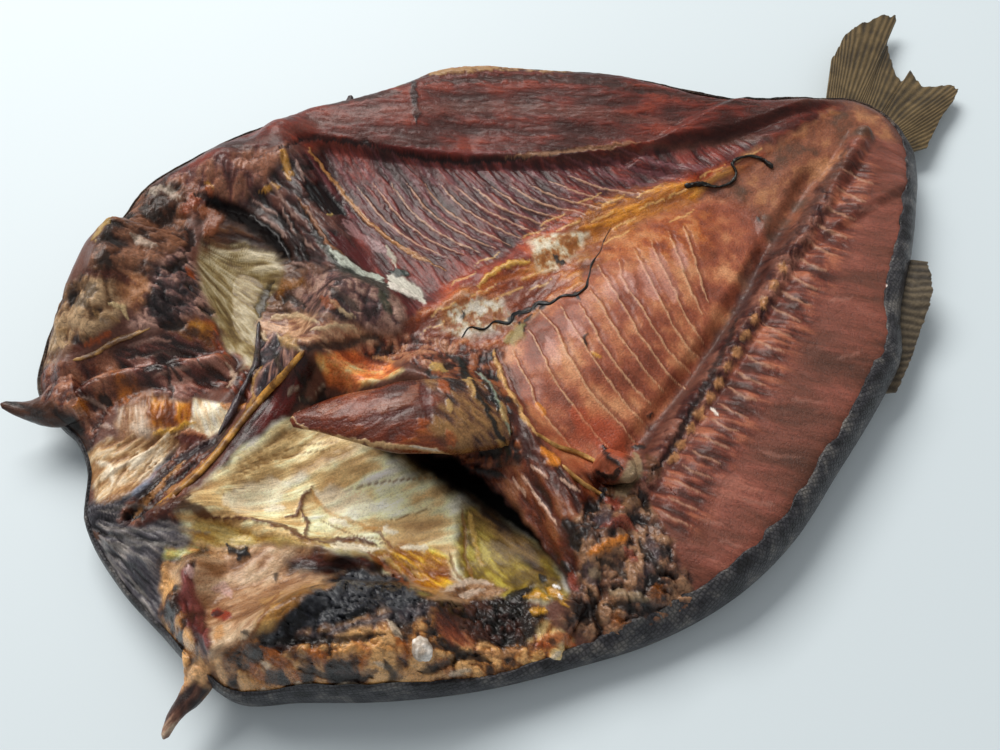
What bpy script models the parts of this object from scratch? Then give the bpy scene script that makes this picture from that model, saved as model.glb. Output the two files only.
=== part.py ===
"""Silver carp split along the back, opened out like a book and smoke-dried.

The fish is one piece of food, so it is one solid: a shallow bowl of skin and flesh that rests on its
belly, with the two halves of the head in front and the tail behind. Sizes are in millimetres and the
mesh is made in metres. Places are given from the chin: +X runs to the tail, +Y to the left flank and
+Z up. At the end the solid is moved so that the middle of its foot is the origin.
"""

import math

import bmesh
import bpy
import numpy as np
from mathutils import Matrix, Vector

MM = 0.001
OBJECT_NAME = "dried_silver_carp"
NODE_NAME = "split_carp"

# Driving sizes of the opened body.
BELLY_FLESH = 11.0      # flesh over the table along the middle of the belly
RIM_CROWN = 8.0         # how far the rolled rim stands above its own mid line
RIM_ROUND = 13.0        # width of the rounded edge of the rim
RIM_TUCK = 5.0          # how far the skin turns in under the rim
BOWL_REACH = 90.0       # width of the band in which the flesh climbs to the rim
FOOT_REACH = 72.0       # width of the band in which the skin leaves the table
LOIN_STEP = 7.0         # height of the left loin over the rib bed beside it
RIGHT_LOIN_STEP = 8.0   # the same on the right, outside the backbone
THINNEST_WALL = 4.5     # least thickness of flesh and skin together
FOOT_CURVE = 1.5        # how soon the skin flattens out away from the rim
RIM_LEAST = 1.5         # least height of the rolled rim over its mid line
BOWL_DROP = 14.0        # how far below its rim the bowl may reach
DROP_REACH = 30.0       # width of the band inside the rolled rim in which it may

# Rows and columns of the mesh: fine on top, coarse under the belly.
TOP_ROWS, TOP_COLUMNS = 62, 50
FOOT_ROWS, FOOT_COLUMNS = 24, 20
CORNER_REACH = 0.34     # share of the grid round a corner that is relaxed
CORNER_PASSES = 60
GRADING = 0.045         # how strongly the grid crowds towards the rim
EDGE_SHARE = 0.006      # share of the grid in the first and last cells
FOOT_MIDDLE = (240.0, 0.0)
FOOT_PULL = 0.016       # how far the under face is drawn in at the rim, as a share
FOOT_PULL_REACH = 40.0

# The mid line of the rim in four stretches, as (x, y, height of the mid line).
HEAD_RIM = (
    (50, -126, 17), (30, -114, 17), (20, -93, 16), (15, -77, 14), (6, -47, 12), (3, -8, 11),
    (11, 12, 13), (11, 28, 14), (6, 43, 15), (4, 62, 16), (13, 83, 16), (35, 103, 16), (60, 134, 16),
)
LEFT_RIM = (
    (60, 134, 16), (88, 161, 17), (121, 170, 17), (150, 175, 16), (193, 170, 16), (236, 160, 17),
    (275, 157, 18), (302, 143, 18), (331, 122, 18), (355, 105, 17), (380, 77, 17),
)
TAIL_RIM = (
    (412, -95, 11), (434, -78, 11), (459, -57, 11), (474, -40, 11), (480, -10, 12), (468, 13, 12),
    (446, 21, 13), (425, 33, 14), (396, 58, 16), (380, 77, 17),
)
RIGHT_RIM = (
    (50, -126, 17), (76, -142, 17), (112, -159, 15), (143, -169, 12), (180, -179, 11), (219, -182, 11),
    (250, -178, 11), (289, -165, 11), (338, -147, 11), (356, -139, 11), (374, -122, 11), (412, -95, 11),
)

# Lines on the flesh, as (x, y).
LEFT_CUT = ((150, 160), (189, 137), (229, 103), (252, 87), (294, 60), (338, 41), (382, 23), (453, 4))
BACKBONE = (
    (188, -134), (199, -127), (243, -110), (278, -97), (314, -81), (355, -61), (404, -41), (446, -22),
)
CAVITY_END = ((334, -62), (351, -50), (362, -30), (352, 8), (326, 38))
CAVITY_STEP, CAVITY_SLOPE = 3.0, 9.0                # height of the flesh behind it, width of its edge
CAVITY_MIDDLE, CAVITY_HALF_WIDTH = -12.0, 52.0
# Where the two loins begin and die out along the fish, each as (x, width of the ease).
LEFT_LOIN_START, LEFT_LOIN_END = (168.0, 22.0), (425.0, 40.0)
RIGHT_LOIN_START, RIGHT_LOIN_END = (190.0, 25.0), (420.0, 45.0)
LEFT_LOIN_EDGE, LEFT_LOIN_SLOPE = 3.0, 7.0          # how far inside its line it begins, width of its edge
RIGHT_LOIN_EDGE, RIGHT_LOIN_SLOPE = 4.0, 24.0
VERTEBRA_PITCH = 8.8
VERTEBRA_COUNT = 28
VERTEBRA_SIZE = (7.5, 12.0, 6.0)    # along the strip, across it, and in height
VERTEBRA_SUNK = 1.6

# Ridges (height above 0) and furrows (below 0), as name: (path, half width, height).
RIDGES = {
    "belly fat": (((165, 8), (239, 14), (294, 18), (358, 10), (430, 6)), 13, 2.5),
    "backbone strip": (BACKBONE, 9, 5.0),
    "furrow beside the backbone": (
        ((205, -112), (257, -94), (293, -80), (322, -66), (360, -47), (404, -27)), 9, -4.5),
    "left collar": (((168, 152), (160, 118), (156, 78), (150, 45), (126, 12), (112, 4)), 23, 13.0),
    "right collar": (((158, -22), (172, -50), (179, -78), (180, -105), (176, -134)), 21, 14.0),
    "gill arch between the bowls": (((122, 10), (96, -2), (76, -15), (52, -29), (28, -44)), 22, 11.0),
    "lip of the gill arch": (((112, 12), (88, 22), (70, 8)), 10, 5.0),
    "right jaw tendon": (((11, -30), (30, -34), (47, -37), (62, -50), (79, -71), (96, -90)), 8, 6.0),
    "chin fold": (((4, -12), (32, -15), (54, -8)), 9, 4.0),
    "snout fold": (((36, -62), (25, -74), (25, -90), (32, -102)), 11, 12.0),
    "left jaw bone": (((10, 40), (35, 42), (57, 38), (80, 36)), 9, 9.0),
    "orange gill raker": (((120, 2), (135, -13), (150, -26), (164, -44)), 9, 7.0),
    "left cheek bone": (((68, 116), (53, 84), (36, 64), (22, 58)), 12, 7.0),
    "black crust": (((46, -104), (66, -103), (84, -102), (101, -110), (110, -128)), 11, 7.0),
}

# Rounded lumps (above 0) and hollows (below 0), as name: (centre, two radii, turn in degrees, height).
MOUNDS = {
    "right rib bed": ((262, -44), (104, 46), 22, 7.0),
    "left rib bed": ((262, 62), (80, 34), -32, 2.5),
    "tail root": ((432, -8), (62, 46), 0, 6.0),
    "left half of the head": ((58, 98), (54, 66), 28, 20.0),
    "left snout": ((30, 62), (26, 26), 0, 6.0),
    "roof of the mouth": ((50, 24), (30, 26), 0, 5.0),
    "left gill bowl": ((104, 72), (27, 58), 12, -11.0),
    "left shoulder": ((140, 146), (34, 26), -20, 8.0),
    "throat lump": ((150, 22), (36, 26), 10, 12.0),
    "right gill bowl": ((114, -88), (76, 33), -46, -9.0),
    "right half of the head": ((70, -116), (66, 33), -31, 24.0),
    "right shoulder": ((182, -150), (38, 30), 0, 8.0),
    "left eye hollow": ((88, 128), (16, 12), 30, -6.0),
    "mouth floor": ((44, -4), (26, 20), 10, -3.0),
}

# Crumpled dried flesh: where, how wide, how deep.
CRAGS = (((60, 92), 78, 4.8), ((68, -112), 62, 5.0), ((176, -148), 42, 4.2), ((146, 132), 44, 3.2),
         ((140, 10), 46, 3.0))
CRAG_SIZES = (26.0, 13.0)
CRAG_SEED, SWELL_SEED = 7, 3
CRAG_EDGE, MOUND_EDGE = 1.4, 1.35       # steepness of their edges
LATTICE = 64                            # size of the seeded table of random heights
FLESH_SWELL, FLESH_SWELL_SIZE = 1.2, 38.0

# Fins: root line, tip line, thickness and rays. Each line is (x, y, z).
TAIL_ROOT = ((462, 18, 15), (470, 6, 14), (474, -12, 13), (470, -36, 12))
TAIL_TIPS = (
    (497, 48, 15), (538, 66, 13), (572, 61, 12), (549, 46, 10), (536, 30, 10), (529, 14, 9),
    (541, 18, 9), (536, 4, 8), (553, -7, 8), (512, -28, 9), (488, -40, 11),
)
DORSAL_ROOT = ((404, -92, 15), (378, -112, 15), (350, -134, 14), (330, -142, 13))
DORSAL_TIPS = ((412, -104, 19), (398, -119, 18), (372, -135, 15), (344, -149, 12))
FIN_THICKNESS = 2.6
FIN_STEPS = 7
FIN_COLUMNS = 20
FIN_WAVE, FIN_WAVES = 1.6, 9.0          # height of the wave, and its turns in radians across the fin
FIN_START = -0.12                       # how far the fin reaches back into the body, as a share

# Tapered pieces: path (x, y, z) and the radius at each point.
SPIKES = {
    "left snout spike": (((24, 44, 23), (8, 46, 21), (-4, 54, 20), (-11, 60, 23)), (13, 10, 5, 1.4)),
    "right snout spike": (((30, -94, 22), (20, -102, 19), (10, -107, 19), (3, -112, 17)), (10, 6, 3, 1.3)),
    "upper gill bone": (((118, 8, 31), (96, -2, 28), (72, -16, 26), (48, -32, 21)), (3.2, 3.6, 3.2, 2)),
    "stub of the shoulder bone": (((206, -108, 12), (205, -116, 26), (203, -124, 34)), (8, 7, 3)),
    "edge scrap by the gap": (((154, -148, 21), (144, -157, 18), (137, -163, 15)), (9, 7, 4)),
    "left shoulder scrap": (((212, 154, 21), (214, 159, 25), (217, 163, 27)), (5, 3, 1.2)),
}
TONGUE_PATH = ((96, -25, 34), (112, -34, 36), (130, -46, 36), (150, -56, 33), (178, -66, 22))
TONGUE_RADII = (3, 11, 17, 19, 15)
TONGUE_FLATNESS = 0.48
EYE_LENS = ((96, -141, 37), 5.5)

FLESH_COLOUR = (0.30, 0.085, 0.035, 1.0)
FLESH_ROUGHNESS = 0.42


def smooth(value):
    """Ease from 0 to 1 with level ends."""
    step = np.clip(value, 0.0, 1.0)
    return step * step * (3.0 - 2.0 * step)


def curve_through(points, shares):
    """Smooth curve through points, read at shares of its length."""
    marks = np.asarray(points, float)
    length = np.concatenate([[0.0], np.cumsum(np.linalg.norm(np.diff(marks, axis=0), axis=1))])
    length /= length[-1]
    slopes = np.gradient(marks, length, axis=0)
    share = np.clip(np.asarray(shares, float), 0.0, 1.0)
    span = np.clip(np.searchsorted(length, share, side="right") - 1, 0, len(marks) - 2)
    width = (length[span + 1] - length[span])[..., None]
    step = (share - length[span])[..., None] / width
    bend = step * step * (3.0 - 2.0 * step)
    lead = step * (1.0 - step) ** 2
    trail = step * step * (step - 1.0)
    return (marks[span] * (1.0 - bend) + marks[span + 1] * bend
            + width * (slopes[span] * lead + slopes[span + 1] * trail))


def between(x, start, end):
    """Ease up at a start and down at an end, each given as (x, width of the ease)."""
    return smooth((x - start[0]) / start[1]) * (1.0 - smooth((x - end[0]) / end[1]))


def path_distance(x, y, path):
    """Distance of plan points from a broken line."""
    line = np.asarray(path, float)[:, :2]
    nearest = np.full(np.shape(x), np.inf)
    for start, end in zip(line[:-1], line[1:]):
        run = end - start
        if not run.any():
            continue
        along = ((x - start[0]) * run[0] + (y - start[1]) * run[1]) / (run @ run)
        along = np.clip(along, 0.0, 1.0)
        away = np.hypot(x - start[0] - along * run[0], y - start[1] - along * run[1])
        nearest = np.minimum(nearest, away)
    return nearest


def ridge(x, y, path, half_width, height):
    """Round-topped ridge or furrow along a line."""
    share = np.clip(path_distance(x, y, path) / half_width, 0.0, 1.0)
    return height * np.cos(0.5 * math.pi * share) ** 2


def mound(x, y, centre, radii, turn, height):
    """Round lump or hollow on an ellipse."""
    angle = math.radians(turn)
    along = (x - centre[0]) * math.cos(angle) + (y - centre[1]) * math.sin(angle)
    across = (y - centre[1]) * math.cos(angle) - (x - centre[0]) * math.sin(angle)
    reach = np.hypot(along / radii[0], across / radii[1])
    return height * smooth(MOUND_EDGE * (1.0 - reach))


def lattice_noise(x, y, size, seed):
    """Soft random swell between -1 and 1: eased values on a seeded square lattice."""
    table = np.random.RandomState(seed).uniform(-1.0, 1.0, (LATTICE, LATTICE))
    column, row = np.floor(x / size).astype(int), np.floor(y / size).astype(int)
    right, up = smooth(x / size - column), smooth(y / size - row)
    this_column, next_column = column % LATTICE, (column + 1) % LATTICE
    this_row, next_row = row % LATTICE, (row + 1) % LATTICE
    low = table[this_row, this_column] * (1 - right) + table[this_row, next_column] * right
    high = table[next_row, this_column] * (1 - right) + table[next_row, next_column] * right
    return low * (1 - up) + high * up


def body_patch(rows, columns):
    """Plan and rim height of a grid that fills the four stretches of the rim.

    Each point is the sum of the two blends between facing stretches, less the blend of the corners.
    The rim runs nearly straight through the corners, so the grid is then relaxed round them.
    """
    u, v = np.meshgrid(rows, columns, indexing="ij")
    right, left = curve_through(RIGHT_RIM, u), curve_through(LEFT_RIM, u)
    head, tail = curve_through(HEAD_RIM, v), curve_through(TAIL_RIM, v)
    u, v = u[..., None], v[..., None]
    corners = ((1 - u) * ((1 - v) * np.array(HEAD_RIM[0], float) + v * np.array(LEFT_RIM[0], float))
               + u * ((1 - v) * np.array(TAIL_RIM[0], float) + v * np.array(LEFT_RIM[-1], float)))
    patch = (1 - v) * right + v * left + (1 - u) * head + u * tail - corners
    corner_reach = np.hypot(0.5 - np.abs(u - 0.5), 0.5 - np.abs(v - 0.5))[1:-1, 1:-1]
    ease = smooth(1.0 - corner_reach / CORNER_REACH)
    for _ in range(CORNER_PASSES):
        middle = 0.25 * (patch[:-2, 1:-1] + patch[2:, 1:-1] + patch[1:-1, :-2] + patch[1:-1, 2:])
        patch[1:-1, 1:-1] += ease * (middle - patch[1:-1, 1:-1])
    return patch


def rim_line(count=80):
    """The whole rim as one closed line."""
    shares = np.linspace(0.0, 1.0, count)
    stretches = [curve_through(RIGHT_RIM, shares), curve_through(TAIL_RIM, shares),
                 curve_through(LEFT_RIM, shares[::-1]), curve_through(HEAD_RIM, shares[::-1])]
    return np.concatenate(stretches)


def graded(count):
    """Shares from 0 to 1 that crowd a little at both ends, for the rounded rim."""
    even = np.linspace(0.0, 1.0, count + 1)
    shares = even - GRADING * np.sin(2.0 * math.pi * even)
    shares[1], shares[-2] = EDGE_SHARE, 1.0 - EDGE_SHARE
    return shares


def flesh_height(x, y, rim, inward):
    """Height of the upper face: the bowl, the loins, then every named ridge, mound and crag."""
    climb = 1.0 - smooth(inward / BOWL_REACH)
    height = BELLY_FLESH + (rim + RIM_CROWN - BELLY_FLESH) * climb

    cut_y = np.interp(x, *np.array(LEFT_CUT, float).T)
    past_cut = smooth((y - cut_y + LEFT_LOIN_EDGE) / LEFT_LOIN_SLOPE)
    height += LOIN_STEP * past_cut * between(x, LEFT_LOIN_START, LEFT_LOIN_END)
    spine_y = np.interp(x, *np.array(BACKBONE, float).T)
    past_spine = smooth((spine_y + RIGHT_LOIN_EDGE - y) / RIGHT_LOIN_SLOPE)
    height += RIGHT_LOIN_STEP * past_spine * between(x, RIGHT_LOIN_START, RIGHT_LOIN_END)
    end_x = np.interp(y, *np.array(CAVITY_END, float).T[::-1])
    beside = np.abs(y - CAVITY_MIDDLE) < CAVITY_HALF_WIDTH
    height += CAVITY_STEP * smooth((x - end_x) / CAVITY_SLOPE) * beside

    for centre, radii, turn, lift in MOUNDS.values():
        height += mound(x, y, centre, radii, turn, lift)
    for path, half_width, lift in RIDGES.values():
        height += ridge(x, y, path, half_width, lift)
    for number, (centre, reach, depth) in enumerate(CRAGS):
        fade = smooth(CRAG_EDGE * (1.0 - np.hypot(x - centre[0], y - centre[1]) / reach))
        for octave, size in enumerate(CRAG_SIZES):
            crumple = lattice_noise(x, y, size, CRAG_SEED * number + octave)
            height += fade * depth / (octave + 1) * crumple
    return height + FLESH_SWELL * lattice_noise(x, y, FLESH_SWELL_SIZE, SWELL_SEED)


def top_face():
    """Points of the upper face, rounded off into the rim."""
    patch = body_patch(graded(TOP_ROWS), graded(TOP_COLUMNS))
    x, y, rim = patch[..., 0], patch[..., 1], patch[..., 2]
    inward = path_distance(x, y, rim_line())
    lowest = rim + RIM_LEAST - BOWL_DROP * smooth((inward - RIM_ROUND) / DROP_REACH)
    crown = np.maximum(flesh_height(x, y, rim, inward), lowest)
    share = np.clip(inward / RIM_ROUND, 0.0, 1.0)
    rounding = np.sqrt(np.clip(1.0 - (1.0 - share) ** 2, 0.0, 1.0))
    rounded = rim + (crown - rim) * rounding
    walled = np.maximum(foot_height(rim, inward) + THINNEST_WALL * rounding, rounded)
    patch[..., 2] = np.where(inward > RIM_ROUND, walled, rounded)
    return patch


def foot_height(rim, inward):
    """Height of the skin underneath: flat on the table, then up to the rim."""
    return (rim - RIM_TUCK) * (1.0 - smooth(inward / FOOT_REACH)) ** FOOT_CURVE


def foot_face():
    """Points of the under face, a little inside the rim."""
    shares_u, shares_v = np.linspace(0.0, 1.0, FOOT_ROWS + 1), np.linspace(0.0, 1.0, FOOT_COLUMNS + 1)
    patch = body_patch(shares_u, shares_v)
    x, y, rim = patch[..., 0].copy(), patch[..., 1].copy(), patch[..., 2].copy()
    inward = path_distance(x, y, rim_line())
    pull = 1.0 - FOOT_PULL * (1.0 - smooth(inward / FOOT_PULL_REACH))
    patch[..., 0] = FOOT_MIDDLE[0] + (x - FOOT_MIDDLE[0]) * pull
    patch[..., 1] = FOOT_MIDDLE[1] + (y - FOOT_MIDDLE[1]) * pull
    patch[..., 2] = foot_height(rim, inward)
    return patch


def add_sheet(mesh, points, flipped=False):
    """Add a grid of points to a bmesh and return the edges of its border."""
    rows, columns = points.shape[:2]
    made = bmesh.ops.create_grid(mesh, x_segments=rows - 1, y_segments=columns - 1, size=1.0)["verts"]
    for vertex in made:
        row = round((vertex.co.x + 1.0) / 2.0 * (rows - 1))
        column = round((vertex.co.y + 1.0) / 2.0 * (columns - 1))
        vertex.co = points[row, column] * MM
    faces = {face for vertex in made for face in vertex.link_faces}
    if flipped:
        bmesh.ops.reverse_faces(mesh, faces=list(faces))
    return [edge for edge in {edge for face in faces for edge in face.edges} if edge.is_boundary]


def new_object(name, mesh, collection):
    """Put a bmesh in an object of a collection."""
    data = bpy.data.meshes.new(name)
    mesh.to_mesh(data)
    mesh.free()
    piece = bpy.data.objects.new(name, data)
    collection.objects.link(piece)
    return piece


def close_up(mesh):
    """Triangles only, all facing outward."""
    bmesh.ops.triangulate(mesh, faces=mesh.faces[:])
    bmesh.ops.recalc_face_normals(mesh, faces=mesh.faces[:])


def make_body(collection):
    """The opened body and head: an upper and an under face joined round the rim."""
    mesh = bmesh.new()
    border = add_sheet(mesh, top_face()) + add_sheet(mesh, foot_face(), flipped=True)
    bmesh.ops.bridge_loops(mesh, edges=border)
    close_up(mesh)
    return new_object(NODE_NAME, mesh, collection)


def make_fin(name, root, tips, collection):
    """A thin wavy fan of fin rays between its root line and its ragged tip line."""
    across = np.linspace(0.0, 1.0, FIN_COLUMNS + 1)
    along = np.linspace(FIN_START, 1.0, FIN_STEPS + 1)
    low, high = curve_through(root, across), curve_through(tips, across)
    points = low[None] + along[:, None, None] * (high - low)[None]
    points[..., 2] += FIN_WAVE * np.sin(FIN_WAVES * across)[None] * np.clip(along, 0.0, 1.0)[:, None]
    mesh = bmesh.new()
    add_sheet(mesh, points)
    fin = new_object(name, mesh, collection)
    wall = fin.modifiers.new("thickness", "SOLIDIFY")
    wall.thickness = FIN_THICKNESS * MM
    wall.offset = 0.0
    return fin


def make_taper(name, path, radii, collection, flatness=1.0):
    """A round piece that swells and tapers along a curve, from a curve with capped ends.

    A flat piece is made on a path stretched in height, and then pressed to its flatness.
    """
    shares = np.linspace(0.0, 1.0, 3 * len(path) - 2)
    points = curve_through(path, shares)
    level = points[:, 2].mean()
    points[:, 2] = level + (points[:, 2] - level) / flatness
    widths = np.interp(shares, np.linspace(0.0, 1.0, len(radii)), radii)
    curve = bpy.data.curves.new(name, "CURVE")
    curve.dimensions = "3D"
    curve.bevel_depth = MM
    curve.bevel_resolution = 2
    curve.use_fill_caps = True
    spline = curve.splines.new("POLY")
    spline.points.add(len(points) - 1)
    for point, place, width in zip(spline.points, points, widths):
        point.co = (*(place * MM), 1.0)
        point.radius = width
    guide = bpy.data.objects.new(name + " line", curve)
    collection.objects.link(guide)
    shaped = guide.evaluated_get(bpy.context.evaluated_depsgraph_get())
    mesh = bmesh.new()
    mesh.from_mesh(bpy.data.meshes.new_from_object(shaped))
    bpy.data.objects.remove(guide)
    bpy.data.curves.remove(curve)
    bmesh.ops.remove_doubles(mesh, verts=mesh.verts[:], dist=0.00002)
    for vertex in mesh.verts:
        vertex.co.z = level * MM + (vertex.co.z - level * MM) * flatness
    close_up(mesh)
    return new_object(name, mesh, collection)


def make_vertebrae(collection):
    """A row of low domes along the backbone strip."""
    line = np.asarray(BACKBONE, float)
    run = line[-1] - line[0]
    turn = Matrix.Rotation(math.atan2(run[1], run[0]), 3, "Z")
    length = np.linalg.norm(np.diff(line, axis=0), axis=1).sum()
    first = 0.5 * VERTEBRA_PITCH
    rim = rim_line()
    for number in range(VERTEBRA_COUNT):
        x, y = curve_through(BACKBONE, (first + number * VERTEBRA_PITCH) / length)
        near = rim[np.argmin(np.hypot(rim[:, 0] - x, rim[:, 1] - y))]
        inward = np.hypot(near[0] - x, near[1] - y)
        top = flesh_height(np.array([x]), np.array([y]), near[2], np.array([inward]))[0]
        mesh = bmesh.new()
        bmesh.ops.create_icosphere(mesh, subdivisions=1, radius=0.5 * MM)
        bmesh.ops.scale(mesh, verts=mesh.verts[:], vec=VERTEBRA_SIZE)
        bmesh.ops.rotate(mesh, verts=mesh.verts[:], matrix=turn)
        bmesh.ops.translate(mesh, verts=mesh.verts[:], vec=Vector((x, y, top - VERTEBRA_SUNK)) * MM)
        new_object(f"vertebra {number + 1}", mesh, collection)


def make_lens(collection):
    """The dried white lens of the eye, half sunk in the head."""
    centre, radius = EYE_LENS
    mesh = bmesh.new()
    bmesh.ops.create_icosphere(mesh, subdivisions=2, radius=radius * MM)
    bmesh.ops.translate(mesh, verts=mesh.verts[:], vec=[value * MM for value in centre])
    return new_object("eye lens", mesh, collection)


def fuse(body, additions):
    """Join everything in a collection to the body in one union, and keep the one body that it makes."""
    union = body.modifiers.new("union", "BOOLEAN")
    union.operation = "UNION"
    union.operand_type = "COLLECTION"
    union.collection = additions
    union.solver = "MANIFOLD"
    shaped = body.evaluated_get(bpy.context.evaluated_depsgraph_get())
    mesh = bmesh.new()
    mesh.from_mesh(bpy.data.meshes.new_from_object(shaped))
    body.modifiers.remove(union)
    for piece in list(additions.objects):
        bpy.data.objects.remove(piece)
    bmesh.ops.triangulate(mesh, faces=mesh.faces[:])
    keep_largest(mesh)
    mesh.to_mesh(body.data)
    mesh.free()


def keep_largest(mesh):
    """Drop any loose scrap, so that one closed body is left."""
    waiting = set(mesh.verts)
    islands = []
    while waiting:
        island, edge_of_island = set(), [waiting.pop()]
        while edge_of_island:
            vertex = edge_of_island.pop()
            island.add(vertex)
            for edge in vertex.link_edges:
                other = edge.other_vert(vertex)
                if other in waiting:
                    waiting.discard(other)
                    edge_of_island.append(other)
        islands.append(island)
    islands.sort(key=len)
    for island in islands[:-1]:
        bmesh.ops.delete(mesh, geom=list(island), context="VERTS")


def stand_on_origin(body):
    """Move the mesh so that the middle of its box, at its foot, is the origin."""
    points = np.array([vertex.co for vertex in body.data.vertices])
    low, high = points.min(axis=0), points.max(axis=0)
    shift = np.array([(low[0] + high[0]) / 2.0, (low[1] + high[1]) / 2.0, low[2]])
    for vertex in body.data.vertices:
        vertex.co = [value - moved for value, moved in zip(vertex.co, shift)]


def flesh_material():
    """Smoked red-brown flesh."""
    material = bpy.data.materials.new("smoked_flesh")
    material.use_nodes = True
    shader = material.node_tree.nodes["Principled BSDF"]
    shader.inputs["Base Color"].default_value = FLESH_COLOUR
    shader.inputs["Roughness"].default_value = FLESH_ROUGHNESS
    shader.inputs["Metallic"].default_value = 0.0
    return material


def main():
    for existing in list(bpy.data.objects):
        bpy.data.objects.remove(existing, do_unlink=True)
    parts = bpy.data.collections.new(OBJECT_NAME)
    additions = bpy.data.collections.new("pieces to fuse")
    bpy.context.scene.collection.children.link(parts)
    bpy.context.scene.collection.children.link(additions)

    body = make_body(parts)
    make_fin("tail fin", TAIL_ROOT, TAIL_TIPS, additions)
    make_fin("dorsal fin", DORSAL_ROOT, DORSAL_TIPS, additions)
    for name, (path, radii) in SPIKES.items():
        make_taper(name, path, radii, additions)
    make_taper("tongue", TONGUE_PATH, TONGUE_RADII, additions, TONGUE_FLATNESS)
    make_vertebrae(additions)
    make_lens(additions)
    fuse(body, additions)
    bpy.data.collections.remove(additions)
    stand_on_origin(body)

    body.data.materials.append(flesh_material())
    body.data.shade_smooth()
    body.data.set_sharp_from_angle(angle=math.radians(50.0))


main()
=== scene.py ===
"""Dried silver carp: the flesh, skin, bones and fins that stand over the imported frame.

The fish was split along the back, opened out and smoke-dried. Every surface here is worked out with
numpy as a function of two parameters. Lengths are in millimetres from the chin, with +X to the tail,
+Y to the left flank and +Z up, and turn into the frame's metres when a mesh is made. Marks that are
read from the photograph are given in its pixels, and a point of the fish takes the marks that lie
where the fixed eye point sees it.
"""
from __future__ import annotations

import logging
import math
from dataclasses import dataclass, field
from enum import Enum

import bpy
import numpy as np
from mathutils import Matrix, Vector

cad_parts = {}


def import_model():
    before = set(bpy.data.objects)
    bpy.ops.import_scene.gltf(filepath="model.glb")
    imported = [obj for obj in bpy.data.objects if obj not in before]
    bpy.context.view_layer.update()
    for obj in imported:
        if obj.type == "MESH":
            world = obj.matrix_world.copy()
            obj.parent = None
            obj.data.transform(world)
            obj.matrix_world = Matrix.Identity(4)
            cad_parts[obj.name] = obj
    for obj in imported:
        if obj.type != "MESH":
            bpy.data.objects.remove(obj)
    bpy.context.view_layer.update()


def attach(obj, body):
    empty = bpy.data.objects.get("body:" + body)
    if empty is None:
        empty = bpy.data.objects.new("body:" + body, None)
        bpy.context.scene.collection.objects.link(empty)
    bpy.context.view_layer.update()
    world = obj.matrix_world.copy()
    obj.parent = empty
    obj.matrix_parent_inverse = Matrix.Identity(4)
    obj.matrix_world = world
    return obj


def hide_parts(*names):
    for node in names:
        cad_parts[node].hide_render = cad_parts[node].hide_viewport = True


LOG = logging.getLogger("split_carp")
MM = 0.001
NODE = "split_carp"
BODY = "root"
FRAME_ORIGIN = np.array([280.11, -3.5, 0.0])    # the frame's origin, from the chin
BOX_LOW, BOX_HIGH = (-11.9, -182.05, 0.0), (572.1, 175.05, 53.4)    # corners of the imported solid's box
SEEN_HEIGHT = 18.0      # height over the table at which the guide pixels of a grain are read
FAN_WIDTH = 55.0        # width of a fan of fibres for each radian
Points = np.ndarray
Pixel = tuple[float, float]


def pixels(text: str) -> Points:
    """Photograph pixels from a line of text that gives each as across,down."""
    return np.array([pair.split(",") for pair in text.split()], float)


def smooth(value: np.ndarray) -> np.ndarray:
    """Ease from 0 to 1 with level ends."""
    step = np.clip(value, 0.0, 1.0)
    return step * step * (3.0 - 2.0 * step)


def linear(colour: str) -> np.ndarray:
    """Linear red, green and blue of a six-digit display colour."""
    code = np.array([int(colour[at:at + 2], 16) for at in (0, 2, 4)]) / 255.0
    return np.where(code <= 0.04045, code / 12.92, ((code + 0.055) / 1.055) ** 2.4)


def shaded(tone: np.ndarray, colours: tuple[str, ...] | list[str], places: tuple[float, ...]) -> np.ndarray:
    """Linear colours read from a row of display colours that stand at places from 0 to 1.

    Args:
        tone: Where each point stands in the row.
        colours: The display colours, from dark to light.
        places: The tone of each of them.

    Returns:
        One colour for each point.
    """
    stops = np.array([linear(colour) for colour in colours])
    return np.stack([np.interp(tone, places, stops[:, band]) for band in range(3)], axis=-1)


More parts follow.
